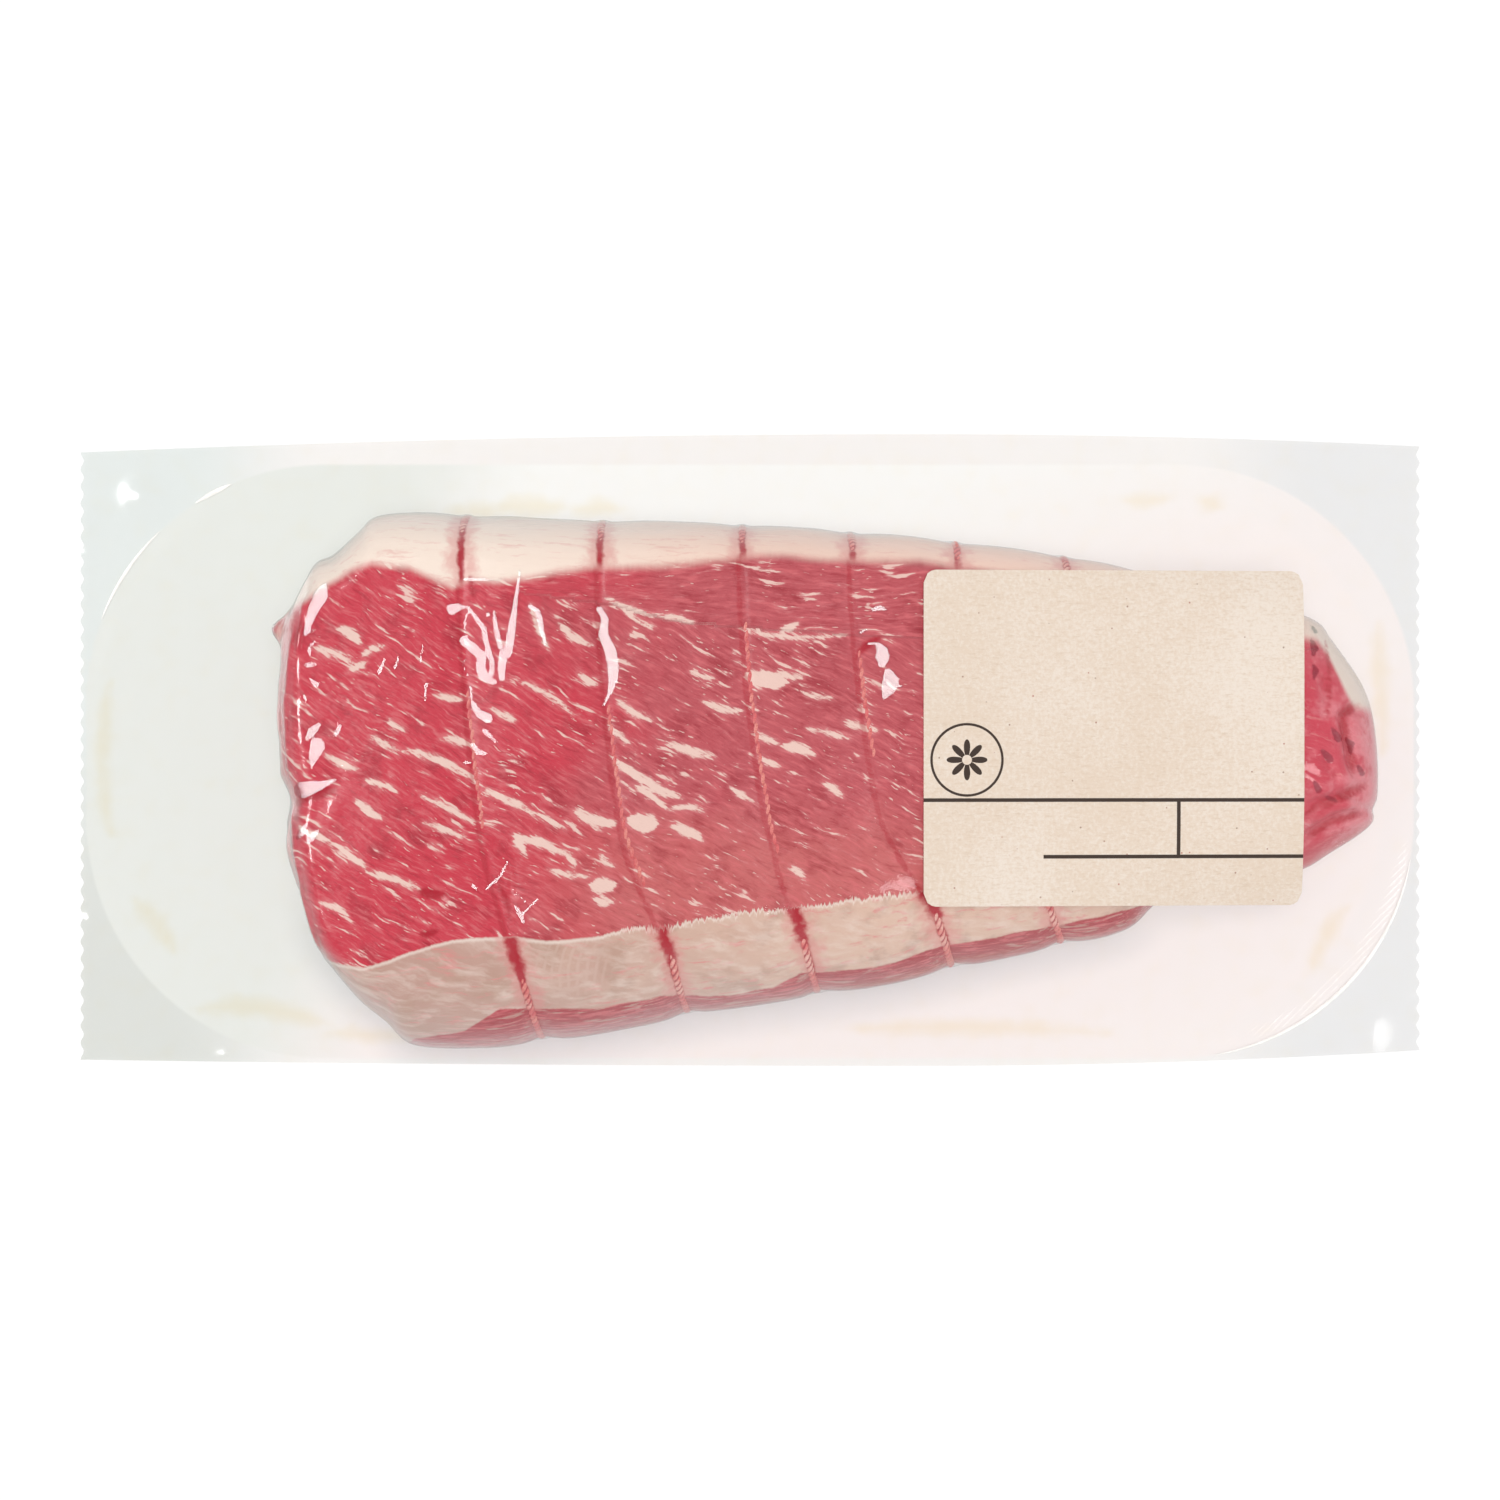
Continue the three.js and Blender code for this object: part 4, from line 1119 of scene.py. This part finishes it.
def fat_colour(nodes, mm, x, y):
    """Outer fat: cream above, and tanner below with pink veins and silvery skin. The darker colour below is
    partly painted shade, where the lower fat slopes away.
    """
    bend = centred_noise(nodes, mm, 11.0, 7.0, 4)
    veins = nodes.noise(stretched(nodes, mm, 14.0, 1.6, bend), 1.0, 5, 0.6)
    below = nodes.ramp(y, 15.0, -15.0)
    patch = centred_noise(nodes, mm, 12.0, 1.2, 4)
    along = nodes.plus(x, nodes.times(patch, 25.0))
    upper = nodes.blend(FAT_UPPER, FAT_UPPER_PINK, nodes.ramp(along, -70.0, 20.0))
    along = nodes.plus(x, nodes.times(patch, 60.0))
    lower = nodes.blend(FAT_LOWER_AND_SHADE, FAT_LOWER_PALE, nodes.ramp(along, -95.0, 45.0))
    colour = nodes.blend(upper, lower, below)
    colour = nodes.blend(colour, FAT_TAN, nodes.times(nodes.ramp(nodes.noise(mm, 9.0, 5), 0.48, 0.68),
                                                      nodes.times(below, 0.7)))
    reach = nodes.plus(0.35, nodes.times(below, 0.5))
    colour = nodes.blend(colour, FAT_PINK, nodes.times(nodes.ramp(veins, 0.54, 0.7), reach))
    skin = nodes.noise(stretched(nodes, nodes.place(mm, turn=20), 16.0, 3.0, bend), 1.0, 6, 0.6)
    rings = nodes.add("ShaderNodeTexWave", {"Vector": nodes.place(mm, move=ARCS_ROUND), "Scale": 0.15,
                                            "Distortion": 3.0, "Detail": 3.0, "Detail Scale": 0.5},
                      wave_type="RINGS", rings_direction="Z").outputs["Fac"]
    between = {0: mm, 1: ARCS_CENTRE}
    from_arcs = nodes.add("ShaderNodeVectorMath", between, operation="DISTANCE").outputs["Value"]
    arcs = nodes.times(nodes.ramp(rings, 0.4, 1.0), nodes.ramp(from_arcs, 14.0, 6.0))
    skin = nodes.times(nodes.ramp(skin, 0.42, 0.74), nodes.times(below, 0.5))
    pale = nodes.most(skin, nodes.times(arcs, 0.15))
    return nodes.blend(colour, FAT_SILVER, pale), veins


def meat_material():
    """Beef: lean with marbling along the grain, outer fat, and juice beside the twine."""
    material, nodes, surface = new_material("beef")
    mm = nodes.object_mm()
    grain = nodes.attribute("grain", "Vector")
    split = nodes.split(mm)
    x, y = split["X"], split["Y"]
    lean, fibres, bend = lean_colour(nodes, mm, x, y, grain)
    marbled, border = marbling(nodes, mm, grain, bend)
    lean = nodes.blend(lean, MARBLING_PINK, nodes.times(border, 0.45))
    lean = nodes.blend(lean, MARBLING_CREAM, marbled)
    on_side = nodes.ramp(nodes.attribute("cut_face"), 0.7, 0.1)
    strands = nodes.noise(stretched(nodes, mm, 16.0, 2.2, bend), 1.0, 6, 0.65)
    streaks = nodes.noise(stretched(nodes, mm, 12.0, 1.3, bend), 1.0, 5, 0.6)
    # Darker lean on the sides: the roast's outer surface, and painted shade where the sides slope away.
    side = nodes.blend(LEAN_SIDE_AND_SHADE, LEAN_PALE, nodes.times(nodes.ramp(streaks, 0.48, 0.6), 0.6))
    lean = nodes.blend(lean, side, nodes.times(on_side, 0.9))
    # Pale pink stripes on the thick end's side: meat and juice, with a painted sheen where the film's pleats
    # catch the light.
    pleats = nodes.noise(nodes.place(mm, (0.1, 1 / 22, 1 / 2.6)), 1.0, 4, 0.6)
    pleat_sheen = nodes.blend(END_RED, END_PINK_SHEEN, nodes.ramp(pleats, 0.4, 0.58))
    lean = nodes.blend(lean, pleat_sheen, nodes.times(nodes.times(on_side, nodes.ramp(x, -100.0, -112.0)), 0.9))
    strand = nodes.times(nodes.ramp(strands, 0.54, 0.62), 0.7)
    lean = nodes.blend(lean, FAT_LOWER_AND_SHADE, nodes.times(on_side, strand))
    lean = nodes.blend(lean, EAR_PALE, nodes.times(nodes.attribute("ear"), nodes.ramp(pleats, 0.35, 0.5)))
    flap = nodes.plus(nodes.noise(mm, 6.0, 5, 0.6), nodes.times(nodes.ramp(x, 151.0, 158.0), 0.22))
    tip = nodes.blend(TIP_RED, TIP_PINK, nodes.ramp(flap, 0.45, 0.72))
    lean = nodes.blend(lean, tip, nodes.times(nodes.ramp(x, 132.0, 142.0), 0.8))

    fat, veins = fat_colour(nodes, mm, x, y)
    fat = nodes.blend(fat, TIP_FILM, nodes.times(nodes.ramp(x, 138.0, 147.0), 0.85))
    hairs = centred_noise(nodes, nodes.place(mm, (1 / 0.6, 1 / 5.0, 1 / 4.0)), 1.0, 4.2, 3)
    below = nodes.ramp(y, 0.0, -10.0)
    on_top = nodes.times(below, nodes.attribute("lower_fat_top"))
    fringe = nodes.times(hairs, nodes.plus(nodes.times(on_top, nodes.ramp(x, -40.0, -25.0)), 0.12))
    depth = nodes.plus(nodes.attribute("fat"), fringe)
    crisp, soft = nodes.ramp(depth, -0.3, 0.4), nodes.ramp(depth, -1.6, 1.8)
    is_fat = nodes.plus(nodes.times(crisp, below), nodes.times(soft, nodes.less(below)))
    # A pale rim along the lower fat's top edge, in the silvery skin's colour: skin, with a painted highlight
    # along the edge.
    rim = nodes.times(nodes.times(nodes.ramp(depth, 1.2, 0.4), crisp), on_top)
    colour = nodes.blend(nodes.blend(lean, fat, is_fat), FAT_SILVER, nodes.times(rim, 0.7))

    gap, beside = nodes.attribute("twine_gap"), nodes.attribute("twine_left_gap")
    reach = nodes.plus(1.3, nodes.times(on_top, 1.2))
    stain = placed_group(nodes, JUICE, {"Where": mm, "Gap": gap, "Reach": reach})["Stain"]
    halo = placed_group(nodes, JUICE, {"Where": mm, "Gap": gap, "Reach": 5.0})["Stain"]
    line = placed_group(nodes, JUICE, {"Where": mm, "Gap": beside, "Reach": 1.0})["Stain"]
    colour = nodes.blend(colour, FAT_PINK, nodes.times(nodes.times(halo, is_fat), 0.55))
    colour = nodes.blend(colour, JUICE_POOLED, nodes.times(stain, nodes.times(is_fat, 0.95)))
    colour = nodes.blend(colour, JUICE_RED, nodes.times(line, nodes.times(nodes.less(is_fat), 0.5)))
    pooled = nodes.ramp(nodes.plus(nodes.attribute("blotch"), centred_noise(nodes, mm, 2.5, 1.6)), -0.6, 0.7)
    colour = nodes.blend(colour, JUICE_POOLED, nodes.times(pooled, 0.9))

    fibrous = nodes.plus(nodes.times(fibres, 0.5), nodes.times(marbled, 0.12))
    on_lean = nodes.times(nodes.less(is_fat), fibrous)
    height = nodes.plus(on_lean,
                        nodes.plus(nodes.times(nodes.noise(mm, 3.0, 4), 0.7), nodes.times(veins, 0.5)))
    inputs = {"Base Color": colour, "Roughness": nodes.plus(0.3, nodes.times(nodes.noise(mm, 4.0), 0.2)),
              "Normal": nodes.bump(height, 0.4, 0.7), "IOR": 1.4}
    shader = nodes.add("ShaderNodeBsdfPrincipled", inputs)
    nodes.feed(surface, shader.outputs[0])
    return material


TWINE_PALE, TWINE_ROSE, TWINE_JUICE_AND_SHADE = srgb(230, 142, 134), srgb(218, 98, 102), srgb(166, 8, 40)
TWINE_BLEACHED, TWINE_LINT = srgb(238, 188, 178), srgb(226, 200, 190)


def twine_material():
    """Cotton twine, wet with juice: salmon on the lean, paler over fat, and dark red between its plies, which
    is juice and painted shade.
    """
    material, nodes, surface = new_material("twine")
    mm = nodes.object_mm()
    crest = nodes.attribute("ply_crest")
    colour = nodes.blend(TWINE_ROSE, TWINE_PALE, nodes.ramp(nodes.noise(mm, 5.0, 3), 0.35, 0.65))
    on_fat = nodes.ramp(nodes.attribute("fat"), -1.0, 1.0)
    patches = nodes.ramp(nodes.noise(mm, 6.0, 3), 0.4, 0.6)
    colour = nodes.blend(colour, TWINE_BLEACHED, nodes.times(on_fat, patches))
    # Dark red in the hollows between plies: juice, and painted shade.
    colour = nodes.blend(colour, TWINE_JUICE_AND_SHADE, nodes.times(nodes.ramp(crest, 0.9, 0.55),
                                                        nodes.plus(0.35, nodes.times(on_fat, 0.6))))
    lint = nodes.noise(nodes.place(mm, (1 / 0.6, 1 / 0.3, 1 / 0.3)), 1.0, 3)
    colour = nodes.tinted(colour, TWINE_LINT, nodes.ramp(lint, 0.45, 0.7))
    shader = nodes.add("ShaderNodeBsdfPrincipled", {"Base Color": colour, "Roughness": 0.5,
                                                    "Normal": nodes.bump(lint, 0.15, 0.6)})
    nodes.feed(surface, shader.outputs[0])
    return material


# Each is the share of light that one of the sheet's two faces lets through.
FILM_LEFT, FILM_TOP, FILM_RIGHT = srgb(247, 248, 246), srgb(253, 253, 252), srgb(253, 250, 249)
FILM_ENDS = (srgb(246, 248, 247), srgb(248, 248, 248))
FILM_CORNER, FILM_STAIN = srgb(243, 244, 242), srgb(254, 252, 247)
TIGHT_LEFT, TIGHT_RIGHT, FACET_HIGHLIGHT_GREY = srgb(252, 250, 249), srgb(254, 251, 250), srgb(224, 228, 228)
# FILM_PAINTED_SHADOW is a painted shadow on the web by the roast's lower edge.
FILM_EDGE, FILM_PAINTED_SHADOW = srgb(252, 251, 250), srgb(247, 248, 249)


def film_material(name, tint_nodes, normal_nodes, roughness):
    """Clear film: it lets light through with a faint tint, and mirrors by the angle it is seen at."""
    material, nodes, surface = new_material(name)
    mm = nodes.object_mm()
    normal = normal_nodes(nodes, mm)
    clear = nodes.add("ShaderNodeBsdfTransparent", {"Color": tint_nodes(nodes, mm)})
    gloss = nodes.add("ShaderNodeBsdfGlossy", {"Roughness": roughness, "Normal": normal})
    outside = nodes.less(nodes.add("ShaderNodeNewGeometry").outputs["Backfacing"])
    share = nodes.times(nodes.add("ShaderNodeFresnel", {"IOR": 1.5, "Normal": normal}).outputs[0], outside)
    mix = nodes.add("ShaderNodeMixShader", {0: share, 1: clear.outputs[0], 2: gloss.outputs[0]})
    nodes.feed(surface, mix.outputs[0])
    return material


FACET_NORMAL = (-0.3, 0.08, 0.95)  # of the film's lit facets


def lit_facet(nodes, mm):
    """1 on the film's lit facets, 0 elsewhere."""
    depth = nodes.plus(nodes.attribute("glint"), centred_noise(nodes, mm, 1.4, 0.7, 4, 0.7))
    return nodes.ramp(depth, -0.12, 0.12)


def tight_film_normal(nodes, mm):
    small = placed_group(nodes, CRINKLE, {"Where": mm, "Size": 9.0})["Height"]
    height = nodes.plus(nodes.times(small, 0.25), nodes.times(nodes.noise(mm, 2.5, 3), 0.5))
    normal = nodes.bump(height, 0.25, 0.7)
    facet = nodes.add("ShaderNodeVectorTransform", {0: FACET_NORMAL}, vector_type="NORMAL",
                      convert_from="OBJECT", convert_to="WORLD").outputs[0]
    mixed = nodes.add("ShaderNodeMix", data_type="VECTOR")
    nodes.feed(mixed.inputs[0], nodes.times(lit_facet(nodes, mm), 0.92))
    nodes.feed(mixed.inputs[4], normal)
    nodes.feed(mixed.inputs[5], facet)
    return nodes.add("ShaderNodeVectorMath", {0: mixed.outputs[1]}, operation="NORMALIZE").outputs[0]


def web_normal(nodes, mm):
    split = nodes.split(mm)
    coarse = placed_group(nodes, CRINKLE, {"Where": mm, "Size": 26.0})["Height"]
    on_band = nodes.times(nodes.ramp(nodes.attribute("seal_depth"), 0.6, 1.4),
                          nodes.ramp(nodes.attribute("seal_depth"), SEAL_BAND - 0.6, SEAL_BAND - 1.4))
    knurled = nodes.times(nodes.ramp(split["X"], 60.0, 100.0), nodes.ramp(split["Y"], -10.0, -40.0))
    knurl = nodes.add("ShaderNodeTexWave", {"Vector": nodes.place(mm, turn=45), "Scale": 0.25}).outputs["Fac"]
    waffle = nodes.times(nodes.times(knurl, on_band), nodes.times(knurled, 0.4))
    height = nodes.plus(nodes.times(coarse, 0.5), waffle)
    return nodes.bump(height, 0.25, 0.7)


def tight_tint(nodes, mm):
    x = nodes.split(mm)["X"]
    plain = nodes.blend(TIGHT_LEFT, TIGHT_RIGHT, nodes.ramp(x, -60.0, 100.0))
    # Painted shade under the highlights: the film is tinted darker on its lit facets so that their reflection
    # shows whiter.
    return nodes.blend(plain, FACET_HIGHLIGHT_GREY, lit_facet(nodes, mm))


def web_tint(nodes, mm):
    """Greyer by the thick end, creamy to the right and below, grey past the seal, darker by the roast's lower
    edge with a painted shadow, and stained in places.
    """
    split = nodes.split(mm)
    x, y, depth = split["X"], split["Y"], nodes.attribute("seal_depth")
    along = nodes.plus(x, nodes.plus(nodes.times(y, -0.26), centred_noise(nodes, mm, 30.0, 24.0, 3)))
    down = nodes.math("SUBTRACT", nodes.times(x, 0.5), y)
    colour = nodes.blend(FILM_TOP, FILM_RIGHT, nodes.ramp(down, -55.0, 30.0))
    colour = nodes.blend(FILM_LEFT, colour, nodes.ramp(along, -116.0, -72.0))
    corner = nodes.ramp(nodes.plus(x, nodes.times(y, 0.8)), -165.0, -215.0)
    outer = nodes.blend(nodes.blend(*FILM_ENDS, nodes.ramp(x, -60.0, 60.0)), FILM_CORNER, corner)
    outer = nodes.blend(outer, FILM_EDGE, nodes.ramp(nodes.math("ABSOLUTE", x), 150.0, 110.0))
    on_band = nodes.times(nodes.ramp(depth, SEAL_BAND + 1.5, SEAL_BAND - 1.5), nodes.ramp(x, 40.0, 150.0))
    outside = nodes.most(nodes.ramp(depth, 0.6, -0.6), nodes.times(on_band, 0.12))
    colour = nodes.blend(colour, outer, outside)
    # Painted shadow: the web is tinted darker close to the roast's lower edge.
    under = nodes.times(nodes.ramp(nodes.attribute("from_roast"), 12.0, 1.0), nodes.ramp(y, -30.0, -60.0))
    colour = nodes.tinted(colour, FILM_PAINTED_SHADOW, under)
    ragged = centred_noise(nodes, mm, 6.0, 5.0, 5)
    stained = nodes.ramp(nodes.plus(nodes.attribute("stain"), ragged), -2.4, 2.4)
    return nodes.tinted(colour, FILM_STAIN, stained)


KRAFT, KRAFT_DARK, KRAFT_PALE = srgb(219, 200, 181), srgb(202, 178, 154), srgb(228, 215, 202)
PRINT_BROWN = srgb(52, 34, 22)
SPECK_BROWN, SPECK_RED = srgb(120, 86, 60), srgb(176, 84, 70)
RULE_WIDTH = 0.95
RULE_MAIN_Y, RULE_LOWER_Y, RULE_CROSS_X, RULE_LOWER_FROM_X = -12.7, -27.1, 109.1, 74.5
RING_CENTRE, RING_RADIUS, RING_LINE = (55.0, -2.5), 9.03, 0.64
PETAL_PAIRS, PETAL_LENGTH, PETAL_START = 4.0, 4.2, 1.0


def paper_material():
    """Kraft paper with specks and fibres, and the label's printed rules and ring."""
    material, nodes, surface = new_material("kraft_label")
    mm = nodes.object_mm()
    split = nodes.split(mm)
    x, y = split["X"], split["Y"]
    fibres = placed_group(nodes, FIBRES, {"Where": mm, "Length": 2.4, "Width": 0.55})
    patches = nodes.plus(centred_noise(nodes, mm, 38.0, 0.6), centred_noise(nodes, mm, 0.9, 1.0, 4, 0.7))
    colour = nodes.blend(KRAFT, KRAFT_PALE, nodes.ramp(patches, -0.2, 0.2))
    colour = nodes.blend(colour, KRAFT_DARK, nodes.times(nodes.ramp(fibres["Shade"], 0.5, 0.75), 0.5))
    specks = nodes.add("ShaderNodeTexVoronoi", {"Vector": mm, "Scale": 0.5})
    pick = nodes.add("ShaderNodeSeparateColor", {0: specks.outputs["Color"]}).outputs
    is_speck = nodes.times(nodes.ramp(specks.outputs["Distance"], 0.16, 0.08), nodes.ramp(pick[0], 0.86, 0.9))
    speck = nodes.blend(SPECK_BROWN, SPECK_RED, pick[1])
    colour = nodes.blend(colour, speck, nodes.times(is_speck, 0.7))

    def printed_line(value, at, width, blur):
        from_line = nodes.math("ABSOLUTE", nodes.math("SUBTRACT", value, at))
        return nodes.ramp(from_line, width / 2 + blur, width / 2 - blur)

    def rule(value, at):
        return printed_line(value, at, RULE_WIDTH, 0.06)

    def beyond(value, at):
        return nodes.math("GREATER_THAN", value, at)

    main = rule(y, RULE_MAIN_Y)
    between = nodes.times(beyond(y, RULE_LOWER_Y), nodes.less(beyond(y, RULE_MAIN_Y)))
    cross = nodes.times(rule(x, RULE_CROSS_X), between)
    lower = nodes.times(rule(y, RULE_LOWER_Y), beyond(x, RULE_LOWER_FROM_X))
    from_ring = nodes.place(mm, move=(-RING_CENTRE[0], -RING_CENTRE[1], 0))
    centred = nodes.split(from_ring)
    right, up = centred["X"], centred["Y"]
    radius = nodes.math("SQRT", nodes.plus(nodes.times(right, right), nodes.times(up, up)))
    ring = printed_line(radius, RING_RADIUS, RING_LINE, 0.05)
    angle = nodes.math("ARCTAN2", up, right)
    petal = nodes.math("ABSOLUTE", nodes.math("COSINE", nodes.times(angle, PETAL_PAIRS)))
    reach = nodes.plus(nodes.times(petal, PETAL_LENGTH), PETAL_START)
    rosette = nodes.ramp(nodes.math("SUBTRACT", reach, radius), -0.06, 0.06)
    heart = nodes.ramp(radius, 1.3, 1.2)
    rosette = nodes.times(rosette, nodes.less(heart))
    ink = nodes.most(nodes.most(main, cross), nodes.most(lower, nodes.most(ring, rosette)))
    colour = nodes.blend(colour, PRINT_BROWN, ink)
    shader = nodes.add("ShaderNodeBsdfPrincipled", {
        "Base Color": colour, "Roughness": nodes.plus(0.6, nodes.times(fibres["Shade"], 0.2)),
        "Normal": nodes.bump(fibres["Height"], 0.05, 0.5)})
    nodes.feed(surface, shader.outputs[0])
    return material


# The seal's white ribs are a painted highlight along its edge.
SEAL_GLINT_WHITE, SEAL_GLINT_PALE = srgb(246, 245, 240), srgb(255, 254, 250)


def seal_glint_material():
    """White for the ribs along the seal's edge: a painted highlight where the edge glints."""
    material, nodes, surface = new_material("seal_glint_film")
    mm = nodes.object_mm()
    colour = nodes.blend(SEAL_GLINT_WHITE, SEAL_GLINT_PALE, nodes.ramp(nodes.noise(mm, 3.0, 3), 0.35, 0.6))
    shader = nodes.add("ShaderNodeBsdfPrincipled", {"Base Color": colour, "Roughness": 0.35,
                                                    "Normal": nodes.bump(nodes.noise(mm, 1.2, 3), 0.1, 0.5)})
    nodes.feed(surface, shader.outputs[0])
    return material


FLOOR_GLOW = 0.55


def floor_material():
    """A white light table: its own glow keeps the pack's shadow faint."""
    material, nodes, surface = new_material("white_floor")
    paint = nodes.add("ShaderNodeBsdfDiffuse", {"Color": srgb(180, 180, 180)})
    glow = nodes.add("ShaderNodeEmission", {"Color": srgb(255, 255, 255), "Strength": FLOOR_GLOW})
    both = nodes.add("ShaderNodeAddShader", {0: paint.outputs[0], 1: glow.outputs[0]})
    nodes.feed(surface, both.outputs[0])
    return material


# ---- stage ----

CAMERA_HEIGHT = 1.5
PHOTO_WIDTH = 0.3945  # what the photograph spans at the floor, in metres
FLOOR_HEIGHT = -0.0006
WORLD_LIGHT, HORIZON_SEEN_IN_GLOSS, ZENITH_SEEN_IN_GLOSS = 0.6, 0.85, 0.3
OVERHEAD_LIGHT, OVERHEAD_SPREAD = 1.75, 20  # a broad sun straight above, and its width in degrees
# Panels that only show as reflections: azimuth, angle from vertical, distance, width, length, and brightness.
PANELS = [(165, 36, 1.2, 0.42, 0.4, 20.0), (-20, 42, 1.2, 0.4, 0.6, 6.0)]


def add_overhead():
    bpy.ops.object.light_add(type="SUN", location=(0, 0, 1))
    lamp = bpy.context.object
    lamp.data.energy = OVERHEAD_LIGHT
    lamp.data.angle = math.radians(OVERHEAD_SPREAD)
    lamp.visible_glossy = False


def add_panel(azimuth, tilt, distance, width, length, brightness):
    """A soft panel that faces the pack with its length level, and lights only glossy surfaces."""
    bpy.ops.object.light_add(type="AREA")
    lamp = bpy.context.object
    lamp.data.shape = "RECTANGLE"
    lamp.data.size, lamp.data.size_y = length, width
    lamp.data.energy = brightness * math.pi * length * width
    turn, lean = math.radians(azimuth), math.radians(tilt)
    way = Vector((math.sin(lean) * math.cos(turn), math.sin(lean) * math.sin(turn), math.cos(lean)))
    place = way * distance
    lamp.location = place
    level = Vector((-math.sin(turn), math.cos(turn), 0))
    back = place.normalized()
    lamp.rotation_euler = Matrix((level, back.cross(level), back)).transposed().to_euler()
    lamp.visible_diffuse = False


def build_stage():
    bpy.ops.mesh.primitive_plane_add(size=6, location=(0, 0, 0))
    floor = bpy.context.object
    floor.name = "floor"
    floor.data.transform(Matrix.Translation((0, 0, FLOOR_HEIGHT)))
    floor.data.materials.append(floor_material())
    floor.visible_glossy = False
    scene = bpy.context.scene
    world = bpy.data.worlds.new("studio")
    scene.world = world
    world.use_nodes = True
    nodes = Nodes(world.node_tree)
    for_gloss = nodes.add("ShaderNodeLightPath").outputs["Is Glossy Ray"]
    way = nodes.split(nodes.add("ShaderNodeTexCoord").outputs["Generated"])["Z"]
    seen = nodes.plus(nodes.times(nodes.ramp(way, 0.2, 0.75), ZENITH_SEEN_IN_GLOSS - HORIZON_SEEN_IN_GLOSS),
                      HORIZON_SEEN_IN_GLOSS - WORLD_LIGHT)
    light = nodes.plus(nodes.times(for_gloss, seen), WORLD_LIGHT)
    sky = nodes.add("ShaderNodeBackground", {"Color": srgb(255, 255, 255), "Strength": light})
    nodes.feed(nodes.add("ShaderNodeOutputWorld").inputs["Surface"], sky.outputs[0])
    add_overhead()
    for panel in PANELS:
        add_panel(*panel)
    scene.view_settings.view_transform = "Standard"
    bpy.ops.object.camera_add(location=(0, 0, CAMERA_HEIGHT), rotation=(0, 0, 0))
    camera = bpy.context.object
    camera.data.lens_unit = "FOV"
    camera.data.sensor_fit = "HORIZONTAL"
    camera.data.angle = 2 * math.atan(PHOTO_WIDTH / 2 / CAMERA_HEIGHT)
    scene.camera = camera


def dress(piece, material):
    piece.data.materials.clear()
    piece.data.materials.append(material)


roast = build_roast()
add_meat_masks(roast)
tree = surface_of(roast)
twines = [build_twine(number + 1, x, seen, tree)
          for number, (x, seen) in enumerate(zip(TWINE_UPPER_X, SEEN_ON_LEAN))]
film_cover = build_film_cover()
film_web = build_film_web()
seal_creases = [build_seal_crease(number + 1, *place) for number, place in enumerate(SEAL_CREASES)]
label = build_label()
dress(roast, meat_material())
twine_cotton = twine_material()
for twine in twines:
    dress(twine, twine_cotton)
dress(film_cover, film_material("tight_film", tight_tint, tight_film_normal, 0.1))
dress(film_web, film_material("web_film", web_tint, web_normal, 0.18))
seal_glint_film = seal_glint_material()
for crease in seal_creases:
    dress(crease, seal_glint_film)
dress(label, paper_material())
build_stage()

for piece in [roast, *twines, film_cover, film_web, *seal_creases, label]:
    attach(piece, "root")
for piece in [roast, film_cover, film_web]:
    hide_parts("sealed_pack")
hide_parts("label")
